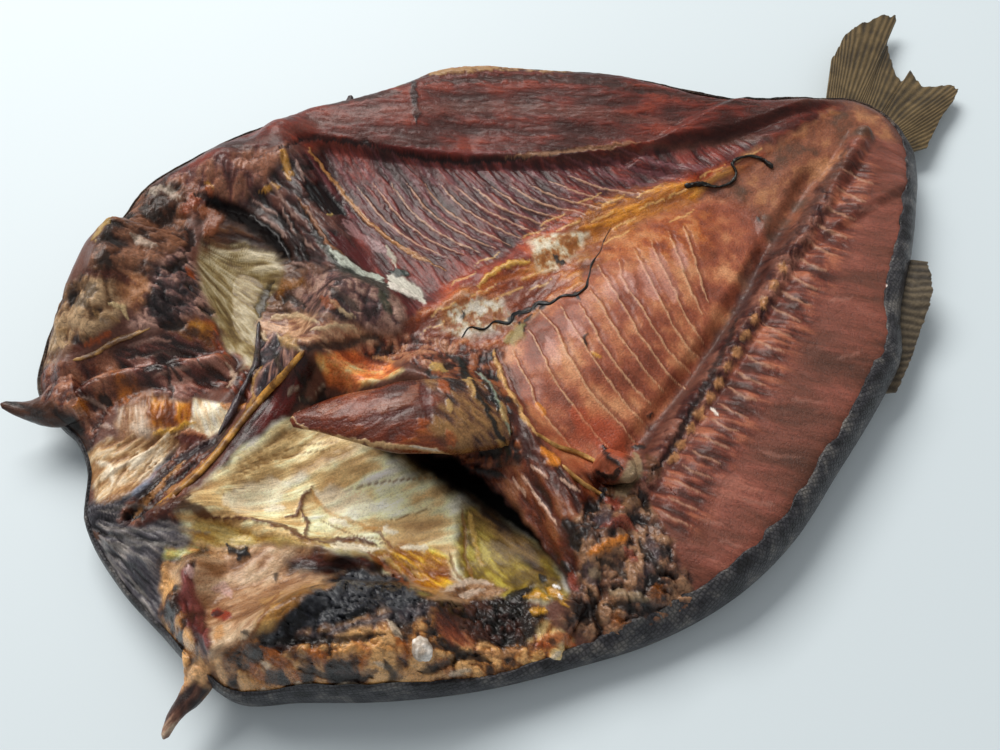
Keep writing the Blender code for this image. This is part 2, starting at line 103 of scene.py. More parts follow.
class Noise:
    """Seeded soft noise on a square lattice."""

    def __init__(self, seed: int, cells: int = 128) -> None:
        self.cells = cells
        self.table = np.random.RandomState(seed).uniform(-1.0, 1.0, (cells, cells))

    def soft(self, x: np.ndarray, y: np.ndarray) -> np.ndarray:
        """Lattice values eased in both directions, one unit apart.

        Args:
            x: First coordinate, in cells of the lattice.
            y: Second coordinate.

        Returns:
            A value from -1 to 1 for each point.
        """
        column, row = np.floor(x).astype(int), np.floor(y).astype(int)
        right, up = smooth(x - column), smooth(y - row)
        left_at, right_at = column % self.cells, (column + 1) % self.cells
        low_at, high_at = row % self.cells, (row + 1) % self.cells
        low = self.table[low_at, left_at] * (1 - right) + self.table[low_at, right_at] * right
        high = self.table[high_at, left_at] * (1 - right) + self.table[high_at, right_at] * right
        return low * (1 - up) + high * up

    def cloud(self, x: np.ndarray, y: np.ndarray, octaves: int = 4, gain: float = 0.55) -> np.ndarray:
        """Sum of ever finer and weaker layers of soft noise, about -1 to 1.

        Args:
            x: First coordinate, in cells of the lattice.
            y: Second coordinate.
            octaves: Number of layers.
            gain: Strength of a layer against the one before it.

        Returns:
            The sum for each point.
        """
        total, weight, reach = np.zeros(np.shape(x)), 1.0, 0.0
        for octave in range(octaves):
            turn_x, turn_y = 0.8 * x - 0.6 * y + 11.3 * octave, 0.6 * x + 0.8 * y - 7.9 * octave
            total = total + weight * self.soft(turn_x * 2.03 ** octave, turn_y * 2.03 ** octave)
            reach += weight * weight
            weight *= gain
        return total / math.sqrt(reach)

    def crease(self, x: np.ndarray, y: np.ndarray, octaves: int = 4) -> np.ndarray:
        """Layers of noise folded at zero: round swells, 1, parted by sharp creases, 0.

        Args:
            x: First coordinate, in cells of the lattice.
            y: Second coordinate.
            octaves: Number of layers.

        Returns:
            The sum for each point.
        """
        total, weight, reach = np.zeros(np.shape(x)), 1.0, 0.0
        for octave in range(octaves):
            turn_x, turn_y = 0.8 * x - 0.6 * y + 5.1 * octave, 0.6 * x + 0.8 * y + 3.7 * octave
            fold = np.abs(self.soft(turn_x * 2.1 ** octave, turn_y * 2.1 ** octave))
            total = total + weight * np.minimum(2.2 * fold, 1.0)
            reach += weight
            weight *= 0.5
        return total / reach


@dataclass(frozen=True)
class Sight:
    """The fixed eye point and picture frame that photograph marks are read in."""

    eye: tuple[float, float, float] = (81.0, -217.0, 332.0)
    heading: float = 32.2       # degrees from the fish's axis to the picture's right edge, clockwise
    pitch: float = 57.0         # degrees below level
    focal: float = 800.0        # pixels
    middle: Pixel = (500.0, 375.0)
    width: float = 1000.0       # pixels across the picture

    def axes(self) -> tuple[np.ndarray, np.ndarray, np.ndarray]:
        """Right, up and forward directions of the picture in the fish's own axes.

        Returns:
            The three directions, turned by the heading and tilted by the pitch.
        """
        turn, tilt = math.radians(self.heading), math.radians(self.pitch)
        to_fish = np.array([[math.cos(turn), math.sin(turn), 0.0],
                            [-math.sin(turn), math.cos(turn), 0.0],
                            [0.0, 0.0, 1.0]])
        right = to_fish @ np.array([1.0, 0.0, 0.0])
        up = to_fish @ np.array([0.0, math.sin(tilt), math.cos(tilt)])
        forward = to_fish @ np.array([0.0, math.cos(tilt), -math.sin(tilt)])
        return right, up, forward

    def pixels(self, points: Points) -> tuple[np.ndarray, np.ndarray]:
        """Where points of the fish are seen, as pixels across and down.

        Args:
            points: The points, in mm.

        Returns:
            Pixels across and pixels down of each point.
        """
        right, up, forward = self.axes()
        away = points - np.array(self.eye)
        depth = away @ forward
        return (self.middle[0] + self.focal * (away @ right) / depth,
                self.middle[1] - self.focal * (away @ up) / depth)

    def at_height(self, pixel: Pixel, height: float) -> np.ndarray:
        """The point at a height that is seen at a pixel.

        Args:
            pixel: Pixel across and down.
            height: In mm.

        Returns:
            The point, in mm.
        """
        right, up, forward = self.axes()
        ray = (forward + right * (pixel[0] - self.middle[0]) / self.focal
               - up * (pixel[1] - self.middle[1]) / self.focal)
        return np.array(self.eye) + ray * (height - self.eye[2]) / ray[2]

    def camera(self) -> bpy.types.Object:
        """A camera at the eye point.

        Returns:
            The camera, linked to the scene.
        """
        lens = bpy.data.cameras.new("camera")
        lens.sensor_width = 36.0
        lens.lens = lens.sensor_width * self.focal / self.width
        lens.clip_start = 0.01
        camera = bpy.data.objects.new("camera", lens)
        right, up, forward = (Vector(axis) for axis in self.axes())
        camera.matrix_world = Matrix((right, up, -forward)).transposed().to_4x4()
        camera.location = Vector((np.array(self.eye) - FRAME_ORIGIN) * MM)
        bpy.context.scene.collection.objects.link(camera)
        return camera


SIGHT = Sight()


def curve_through(points: object, shares: object) -> Points:
    """Smooth curve through points, read at shares of its length.

    Each span blends its two ends and their slopes with the usual cubic of a Hermite curve.

    Args:
        points: The points that the curve passes, in order.
        shares: Shares of the length, from 0 to 1, in any shape.

    Returns:
        A point of the curve for each share.
    """
    marks = np.asarray(points, float)
    length = np.concatenate([[0.0], np.cumsum(np.linalg.norm(np.diff(marks, axis=0), axis=1))])
    length /= length[-1]
    slopes = np.gradient(marks, length, axis=0)
    share = np.clip(np.asarray(shares, float), 0.0, 1.0)
    span = np.clip(np.searchsorted(length, share, side="right") - 1, 0, len(marks) - 2)
    width = (length[span + 1] - length[span])[..., None]
    step = (share - length[span])[..., None] / width
    bend = step * step * (3.0 - 2.0 * step)
    swing = slopes[span] * step * (1.0 - step) ** 2 + slopes[span + 1] * step * step * (step - 1.0)
    return marks[span] * (1.0 - bend) + marks[span + 1] * bend + width * swing


def line_distance(x: np.ndarray, y: np.ndarray, line: Points) -> tuple[np.ndarray, np.ndarray]:
    """Nearest point of a broken line to each point.

    Args:
        x: First coordinate of the points.
        y: Second coordinate of the points.
        line: The line's own points.

    Returns:
        Distance from the line, and how far along it, from 0 to 1, the nearest point lies.
    """
    nearest, share = np.full(np.shape(x), np.inf), np.zeros(np.shape(x))
    runs = np.linalg.norm(np.diff(line, axis=0), axis=1)
    total, passed = max(runs.sum(), 1e-9), 0.0
    for start, end, run in zip(line[:-1], line[1:], runs):
        if run == 0.0:
            continue
        way = (end - start) / run
        along = np.clip((x - start[0]) * way[0] + (y - start[1]) * way[1], 0.0, run)
        away = np.hypot(x - start[0] - along * way[0], y - start[1] - along * way[1])
        closer = away < nearest
        nearest = np.where(closer, away, nearest)
        share = np.where(closer, (passed + along) / total, share)
        passed += run
    return nearest, share


def inside_depth(x: np.ndarray, y: np.ndarray, outline: Points) -> np.ndarray:
    """Distance from a closed outline, positive inside it.

    Args:
        x: First coordinate of the points.
        y: Second coordinate of the points.
        outline: Points of the outline, in order.

    Returns:
        The distance of each point.
    """
    closed = np.vstack([outline, outline[:1]])
    odd = np.zeros(np.shape(x), bool)
    for (ax, ay), (bx, by) in zip(closed[:-1], closed[1:]):
        crosses = (ay > y) != (by > y)
        with np.errstate(divide="ignore", invalid="ignore"):
            odd ^= crosses & (x < (bx - ax) * (y - ay) / (by - ay) + ax)
    away, _ = line_distance(x, y, closed)
    return np.where(odd, away, -away)


@dataclass(frozen=True)
class Loin:
    """A thick loin: a step up from the bowl along a line of the fish."""

    edge: tuple                         # the line in plan
    step: float                         # height of the step
    shift: float                        # from the line to the foot of the step
    slope: float                        # width of the step, below 0 where it rises to the right flank
    start: float                        # where the loin starts, its fade, its end and the fade there
    fade_in: float
    end: float
    fade_out: float

    def height(self, x: np.ndarray, y: np.ndarray) -> np.ndarray:
        """Height over the bowl: an eased step across the line, faded in and out along the fish.

        Args:
            x: Distance from the chin to the tail.
            y: Distance to the left flank.

        Returns:
            The height of each point.
        """
        edge_y = np.interp(x, *np.array(self.edge, float).T)
        along = smooth((x - self.start) / self.fade_in) * (1.0 - smooth((x - self.end) / self.fade_out))
        return self.step * smooth((y - edge_y + self.shift) / self.slope) * along


@dataclass(frozen=True)
class Shape:
    """The opened body: the rim's mid line, the lines of the flesh and the forms that rise from it."""

    belly_flesh: float = 11.0
    rim_crown: float = 8.0
    rim_round: float = 13.0
    rim_tuck: float = 5.0
    bowl_reach: float = 90.0
    foot_reach: float = 72.0
    thinnest_wall: float = 4.5
    bowl_drop: float = 14.0             # how far below the rim the bowl may reach
    drop_reach: float = 30.0
    head_rim: tuple = (
        (50, -126, 17), (30, -114, 17), (20, -93, 16), (15, -77, 14), (6, -47, 12), (3, -8, 11),
        (11, 12, 13), (11, 28, 14), (6, 43, 15), (4, 62, 16), (13, 83, 16), (35, 103, 16),
        (60, 134, 16))
    left_rim: tuple = (
        (60, 134, 16), (88, 161, 17), (121, 170, 17), (150, 175, 16), (193, 170, 16), (236, 160, 17),
        (275, 157, 18), (302, 143, 18), (331, 122, 18), (355, 105, 17), (380, 77, 17))
    tail_rim: tuple = (
        (412, -95, 11), (434, -78, 11), (459, -57, 11), (474, -40, 11), (480, -10, 12), (468, 13, 12),
        (446, 21, 13), (425, 33, 14), (396, 58, 16), (380, 77, 17))
    right_rim: tuple = (
        (50, -126, 17), (76, -142, 17), (112, -159, 15), (143, -169, 12), (180, -179, 11),
        (219, -182, 11), (250, -178, 11), (289, -165, 11), (338, -147, 11), (356, -139, 11),
        (374, -122, 11), (412, -95, 11))
    left_cut: tuple = (
        (150, 160), (189, 137), (229, 103), (252, 87), (294, 60), (338, 41), (382, 23), (453, 4))
    backbone: tuple = (
        (188, -134), (199, -127), (243, -110), (278, -97), (314, -81), (355, -61), (404, -41),
        (446, -22))
    loins: tuple[Loin, ...] = (Loin(left_cut, 7.0, 3.0, 7.0, 168.0, 22.0, 425.0, 40.0),
                               Loin(backbone, 8.0, -4.0, -24.0, 190.0, 25.0, 420.0, 45.0))
    vertebra_pitch: float = 8.8
    vertebra_lift: float = 1.9
    vertebra_reach: float = 8.0         # from the middle of the backbone
    # Ridges above 0 and furrows below 0: path, half width, height.
    ridges: tuple = (
        (((165, 8), (239, 14), (294, 18), (358, 10), (430, 6)), 13, 2.5),
        (((188, -134), (243, -110), (314, -81), (404, -41), (446, -22)), 9, 5.0),
        (((205, -112), (257, -94), (293, -80), (322, -66), (360, -47), (404, -27)), 9, -4.5),
        (((168, 152), (160, 118), (156, 78), (150, 45), (126, 12), (112, 4)), 23, 13.0),
        (((158, -22), (172, -50), (179, -78), (180, -105), (176, -134)), 21, 14.0),
        (((122, 10), (96, -2), (76, -15), (52, -29), (28, -44)), 22, 11.0),
        (((112, 12), (88, 22), (70, 8)), 10, 5.0),
        (((11, -30), (30, -34), (47, -37), (62, -50), (79, -71), (96, -90)), 8, 6.0),
        (((4, -12), (32, -15), (54, -8)), 9, 4.0),
        (((36, -62), (25, -74), (25, -90), (32, -102)), 11, 12.0),
        (((10, 40), (35, 42), (57, 38), (80, 36)), 9, 9.0),
        (((120, 2), (135, -13), (150, -26), (164, -44)), 9, 7.0),
        (((68, 116), (53, 84), (36, 64), (22, 58)), 12, 7.0),
        (((46, -104), (66, -103), (84, -102), (101, -110), (110, -128)), 11, 7.0))
    # Round lumps above 0 and hollows below 0: centre, two radii, turn in degrees, height.
    mounds: tuple = (
        ((262, -44), (104, 46), 22, 7.0), ((262, 62), (80, 34), -32, 2.5),
        ((432, -8), (62, 46), 0, 6.0), ((58, 98), (54, 66), 28, 20.0), ((30, 62), (26, 26), 0, 6.0),
        ((50, 24), (30, 26), 0, 5.0), ((104, 72), (27, 58), 12, -11.0),
        ((140, 146), (34, 26), -20, 8.0), ((150, 22), (36, 26), 10, 12.0),
        ((114, -88), (76, 33), -46, -9.0), ((70, -116), (66, 33), -31, 24.0),
        ((182, -150), (38, 30), 0, 8.0),
        ((88, 128), (16, 12), 30, -6.0), ((44, -4), (26, 20), 10, -3.0))
    # Crumpled flesh: centre, reach, depth.
    crags: tuple = (
        ((60, 92), 78, 4.8), ((68, -112), 62, 5.0), ((176, -148), 42, 4.2), ((146, 132), 44, 3.2),
        ((140, 10), 46, 3.0))
    crag_sizes: tuple[float, float] = (26.0, 13.0)
    swell: tuple[float, float] = (1.2, 38.0)        # height and size of the soft swells of the flesh
    # Step up at the tail end of the belly cavity: its line, height, slope, middle and half width.
    cavity_end: tuple = ((334, -62), (351, -50), (362, -30), (352, 8), (326, 38))
    cavity_step: tuple[float, float, float, float] = (3.0, 9.0, -12.0, 52.0)

    def rim(self, count: int = 120) -> Points:
        """The whole rim as one closed line, from the right cheek to the tail and back by the left.

        Args:
            count: Points of each of its four runs.

        Returns:
            Points of the line.
        """
        shares = np.linspace(0.0, 1.0, count)
        runs = ((self.right_rim, 1), (self.tail_rim, 1), (self.left_rim, -1), (self.head_rim, -1))
        return np.concatenate([curve_through(run, shares[::step]) for run, step in runs])

    @property
    def middle(self) -> np.ndarray:
        """A point in plan near the middle of the body."""
        return np.array([245.0, -5.0])

    def inward(self, x: np.ndarray, y: np.ndarray) -> np.ndarray:
        """Distance in plan from the rim."""
        return line_distance(x, y, self.rim(60)[:, :2])[0]

    def patch(self, rows: int = 60, columns: int = 50, passes: int = 60) -> Points:
        """Plan and rim height of a coarse grid that fills the rim.

        A point is the sum of the two blends between facing stretches of the rim, less the blend of its
        four corners. The rim runs nearly straight through the corners, so the grid is relaxed there.

        Args:
            rows: Cells along the fish.
            columns: Cells across it.
            passes: How often the corners are relaxed.

        Returns:
            Points across and along with the rim's height as their third value.
        """
        shares = (np.linspace(0, 1, count + 1) for count in (rows, columns))
        u, v = np.meshgrid(*shares, indexing="ij")
        right, left = curve_through(self.right_rim, u), curve_through(self.left_rim, u)
        head, tail = curve_through(self.head_rim, v), curve_through(self.tail_rim, v)
        u, v = u[..., None], v[..., None]
        ends = (self.head_rim[0], self.left_rim[0], self.tail_rim[0], self.left_rim[-1])
        low, side, back, far = (np.array(end, float) for end in ends)
        corners = (1 - u) * ((1 - v) * low + v * side) + u * ((1 - v) * back + v * far)
        grid = (1 - v) * right + v * left + (1 - u) * head + u * tail - corners
        near = np.hypot(0.5 - np.abs(u - 0.5), 0.5 - np.abs(v - 0.5))[1:-1, 1:-1]
        ease = smooth(1.0 - near / 0.34)
        inner = grid[1:-1, 1:-1]
        for _ in range(passes):
            middle = 0.25 * (grid[:-2, 1:-1] + grid[2:, 1:-1] + grid[1:-1, :-2] + grid[1:-1, 2:])
            inner += ease * (middle - inner)
        return grid

    def foot(self, rim: np.ndarray, inward: np.ndarray) -> np.ndarray:
        """Height of the skin underneath: flat on the table, then up to the rim."""
        return (rim - self.rim_tuck) * (1.0 - smooth(inward / self.foot_reach)) ** 1.5

    def flesh(self, x: np.ndarray, y: np.ndarray, rim: np.ndarray, inward: np.ndarray) -> np.ndarray:
        """Height of the upper face: the bowl, the two loins, then every ridge, mound and crag.

        Args:
            x: Distance from the chin to the tail.
            y: Distance to the left flank.
            rim: Height of the rim beside each point.
            inward: Distance of each point from the rim.

        Returns:
            The height of each point.
        """
        climb = 1.0 - smooth(inward / self.bowl_reach)
        height = self.belly_flesh + (rim + self.rim_crown - self.belly_flesh) * climb
        for loin in self.loins:
            height += loin.height(x, y)
        for centre, radii, turn, lift in self.mounds:
            angle = math.radians(turn)
            along = (x - centre[0]) * math.cos(angle) + (y - centre[1]) * math.sin(angle)
            across = (y - centre[1]) * math.cos(angle) - (x - centre[0]) * math.sin(angle)
            height += lift * smooth(1.35 * (1.0 - np.hypot(along / radii[0], across / radii[1])))
        for path, half_width, lift in self.ridges:
            away, _ = line_distance(x, y, np.array(path, float))
            height += lift * np.cos(0.5 * math.pi * np.clip(away / half_width, 0.0, 1.0)) ** 2
        for number, (centre, reach, depth) in enumerate(self.crags):
            fade = smooth(1.4 * (1.0 - np.hypot(x - centre[0], y - centre[1]) / reach))
            for octave, size in enumerate(self.crag_sizes):
                lump = Noise(7 * number + octave, 64).soft(x / size, y / size)
                height += fade * depth / (octave + 1) * lump
        lift, size = self.swell
        height += lift * Noise(3, 64).soft(x / size, y / size)
        end_y, end_x = np.array(self.cavity_end, float).T[::-1]
        lift, slope, middle, half_width = self.cavity_step
        beside = smooth((half_width - np.abs(y - middle)) / 6.0 + 0.5)
        height += lift * smooth((x - np.interp(y, end_y, end_x)) / slope) * beside
        spine = np.array(self.backbone, float)
        away, share = line_distance(x, y, spine)
        run = np.linalg.norm(np.diff(spine, axis=0), axis=1).sum()
        beat = 0.5 + 0.5 * np.cos(2.0 * math.pi * share * run / self.vertebra_pitch)
        height += self.vertebra_lift * beat * smooth(1.5 * (1.0 - away / self.vertebra_reach))
        return height

    def face_height(self, x: np.ndarray, y: np.ndarray, rim: np.ndarray, inward: np.ndarray) -> np.ndarray:
        """Height of the face, rounded off into the rim and never thinner than the wall.

        Args:
            x: Distance from the chin to the tail.
            y: Distance to the left flank.
            rim: Height of the rim beside each point.
            inward: Distance of each point from the rim.

        Returns:
            The height of each point.
        """
        lowest = rim + 1.5 - self.bowl_drop * smooth((inward - self.rim_round) / self.drop_reach)
        crown = np.maximum(self.flesh(x, y, rim, inward), lowest)
        share = np.clip(inward / self.rim_round, 0.0, 1.0)
        rounding = np.sqrt(np.clip(1.0 - (1.0 - share) ** 2, 0.0, 1.0))
        rounded = rim + (crown - rim) * rounding
        thin = np.maximum(self.foot(rim, inward) + self.thinnest_wall * rounding, rounded)
        return np.where(inward > self.rim_round, thin, rounded)


SHAPE = Shape()


class Grain(Enum):
    """How a field of flesh is patterned."""

    CLOUD = "soft mottling"
    CRUMPLE = "swells parted by creases"
    FIBRE = "streaks along a line"
    FAN = "streaks out of a point"

    @property
    def cracks(self) -> float:
        """How far fine cracks show."""
        return {Grain.CLOUD: 0.2, Grain.CRUMPLE: 0.65, Grain.FIBRE: 0.3, Grain.FAN: 0.2}[self]


@dataclass(frozen=True)
class Field:
    """A field of the upper face: its outline in photograph pixels, and its paint and relief."""

    name: str
    tones: str                              # four display colours from dark to light
    outline: str                            # photograph pixels round it
    grain: Grain = Grain.CLOUD
    size: float = 8.0                       # of the pattern, in mm
    relief: float = 0.4                     # in mm
    gloss: float = 0.5
    lines: str = "0,0 1,0"                  # two pixels along the fibres, or the fan's point first
    stretch: float = 6.0
    edge: float = 5.0                       # softness of the outline, in pixels
    ragged: float = 5.0                     # waviness of the outline, in pixels
    contrast: float = 1.0


@dataclass(frozen=True)
class Mark:
    """A stroke on the upper face, along photograph pixels."""

    colour: str
    width: float                            # half width in pixels
    lift: float                             # in mm, above or below the face
    path: str | Points                      # photograph pixels along it
    strength: float = 1.0
    gloss: float = 0.5
    ragged: float = 2.4


@dataclass
class Paint:
    """Colour, gloss, grain coordinates and relief of a set of points, built up field by field."""

    across: np.ndarray
    down: np.ndarray
    x: np.ndarray
    y: np.ndarray
    colour: np.ndarray = field(init=False)
    gloss: np.ndarray = field(init=False)
    grain: np.ndarray = field(init=False)
    relief: np.ndarray = field(init=False)
    crumple: np.ndarray = field(init=False)

    def __post_init__(self) -> None:
        """Start with plain brown flesh."""
        self.colour = np.tile(linear("6a4438"), (len(self.x), 1))
        self.gloss = np.full(len(self.x), 0.5)
        self.grain = np.stack([self.x, self.y, np.zeros(len(self.x))], axis=1)
        self.relief = np.zeros(len(self.x))
        self.crumple = np.full(len(self.x), 0.2)
        self.sway, self.fray = self.wander(9.0, 40.0), self.wander(3.0, 60.0)

    def wander(self, size: float, shift: float) -> tuple[np.ndarray, np.ndarray]:
        """Two soft noises of one size, across and down, that make edges uneven."""
        noise = Noise(901)
        return tuple(noise.cloud(self.x / size + start, self.y / size, 3) for start in (0.0, shift))

    def near(self, points: Points, margin: float) -> np.ndarray:
        """Indexes of the points within a margin of the box round some pixels.

        Args:
            points: The pixels.
            margin: In pixels.

        Returns:
            The indexes.
        """
        low, high = points.min(axis=0) - margin, points.max(axis=0) + margin
        return np.flatnonzero((self.across > low[0]) & (self.across < high[0])
                              & (self.down > low[1]) & (self.down < high[1]))

    def pattern(self, part: Field, at: np.ndarray, seed: int) -> tuple[np.ndarray, np.ndarray, np.ndarray]:
        """The pattern of a field.

        Args:
            part: The field.
            at: Indexes of its points.
            seed: Seed of its noise.

        Returns:
            Tone from 0 to 1, relief from -1 to 1, and grain coordinates, one for each point.
        """
        x, y, noise = self.x[at], self.y[at], Noise(seed)
        start, end = (SIGHT.at_height(pixel, SEEN_HEIGHT)[:2] for pixel in pixels(part.lines))
        if part.grain is Grain.FAN:
            along = np.hypot(x - start[0], y - start[1])
            across = np.arctan2(y - start[1], x - start[0]) * FAN_WIDTH
        elif part.grain is Grain.FIBRE:
            way = end - start
            way /= np.linalg.norm(way)
            along, across = x * way[0] + y * way[1], y * way[0] - x * way[1]
        else:
            along, across = x, y
        if part.grain in (Grain.FAN, Grain.FIBRE):
            bend = 0.35 * part.size * noise.cloud(x / 30.0, y / 30.0, 2)
            streak = noise.cloud(along / (part.size * part.stretch), (across + bend) / part.size, 4, 0.7)
            blot = noise.cloud(x / (3.0 * part.size) + 9.0, y / (3.0 * part.size), 3)
            tone, relief = 0.75 * streak + 0.5 * blot, streak
            along = along / part.stretch
        elif part.grain is Grain.CRUMPLE:
            swell = noise.crease(x / part.size, y / part.size, 4)
            blot = noise.cloud(x / (1.6 * part.size) + 5.0, y / (1.6 * part.size), 4, 0.65)
            tone, relief = 0.9 * blot + 1.1 * (swell - 0.5), 2.0 * swell - 1.0
        else:
            tone = noise.cloud(x / part.size, y / part.size, 5, 0.62)
            relief = noise.cloud(x / part.size + 31.0, y / part.size, 3)
        grain = np.stack([along, across, np.zeros(len(x))], axis=1)
        return 0.5 + 0.5 * np.tanh(1.7 * part.contrast * tone), relief, grain

    def add_field(self, part: Field, seed: int) -> None:
        """Lay a field over what is there, fading over its edge.

        Args:
            part: The field.
            seed: Seed of its pattern.
        """
        outline = pixels(part.outline)
        at = self.near(outline, part.edge + part.ragged + 4.0)
        if not len(at):
            return
        depth = inside_depth(self.across[at] + part.ragged * self.sway[0][at],
                             self.down[at] + part.ragged * self.sway[1][at], outline)
        weight = smooth(0.5 + 0.5 * depth / part.edge)
        tone, relief, grain = self.pattern(part, at, seed)
        shade = shaded(tone, part.tones.split(), (0.05, 0.35, 0.65, 0.95))
        self.colour[at] += weight[:, None] * (shade - self.colour[at])
        self.gloss[at] += weight * (part.gloss - self.gloss[at])
        self.relief[at] += weight * (part.relief * relief - self.relief[at])
        self.grain[at] = np.where(weight[:, None] > 0.5, grain, self.grain[at])
        self.crumple[at] += weight * (part.grain.cracks - self.crumple[at])

    def add_mark(self, mark: Mark) -> None:
        """Lay a stroke over what is there, with a round cross-section and tapered ends.

        Args:
            mark: The stroke.
        """
        path = pixels(mark.path) if isinstance(mark.path, str) else mark.path
        line = curve_through(path, np.linspace(0, 1, 6 * len(path)))
        at = self.near(line, 2.2 * mark.width + 4.0)
        if not len(at):
            return
        stray = min(mark.ragged, 0.9 * mark.width)
        away, share = line_distance(self.across[at] + stray * self.fray[0][at],
                                    self.down[at] + stray * self.fray[1][at], line)
        taper = 0.35 + 0.65 * smooth(5.0 * np.minimum(share, 1.0 - share))
        weight = mark.strength * smooth(1.6 * (1.0 - away / (1.35 * mark.width * taper)))
        self.colour[at] += weight[:, None] * (linear(mark.colour) - self.colour[at])
        self.gloss[at] += weight * (mark.gloss - self.gloss[at])
        self.relief[at] += mark.lift * weight


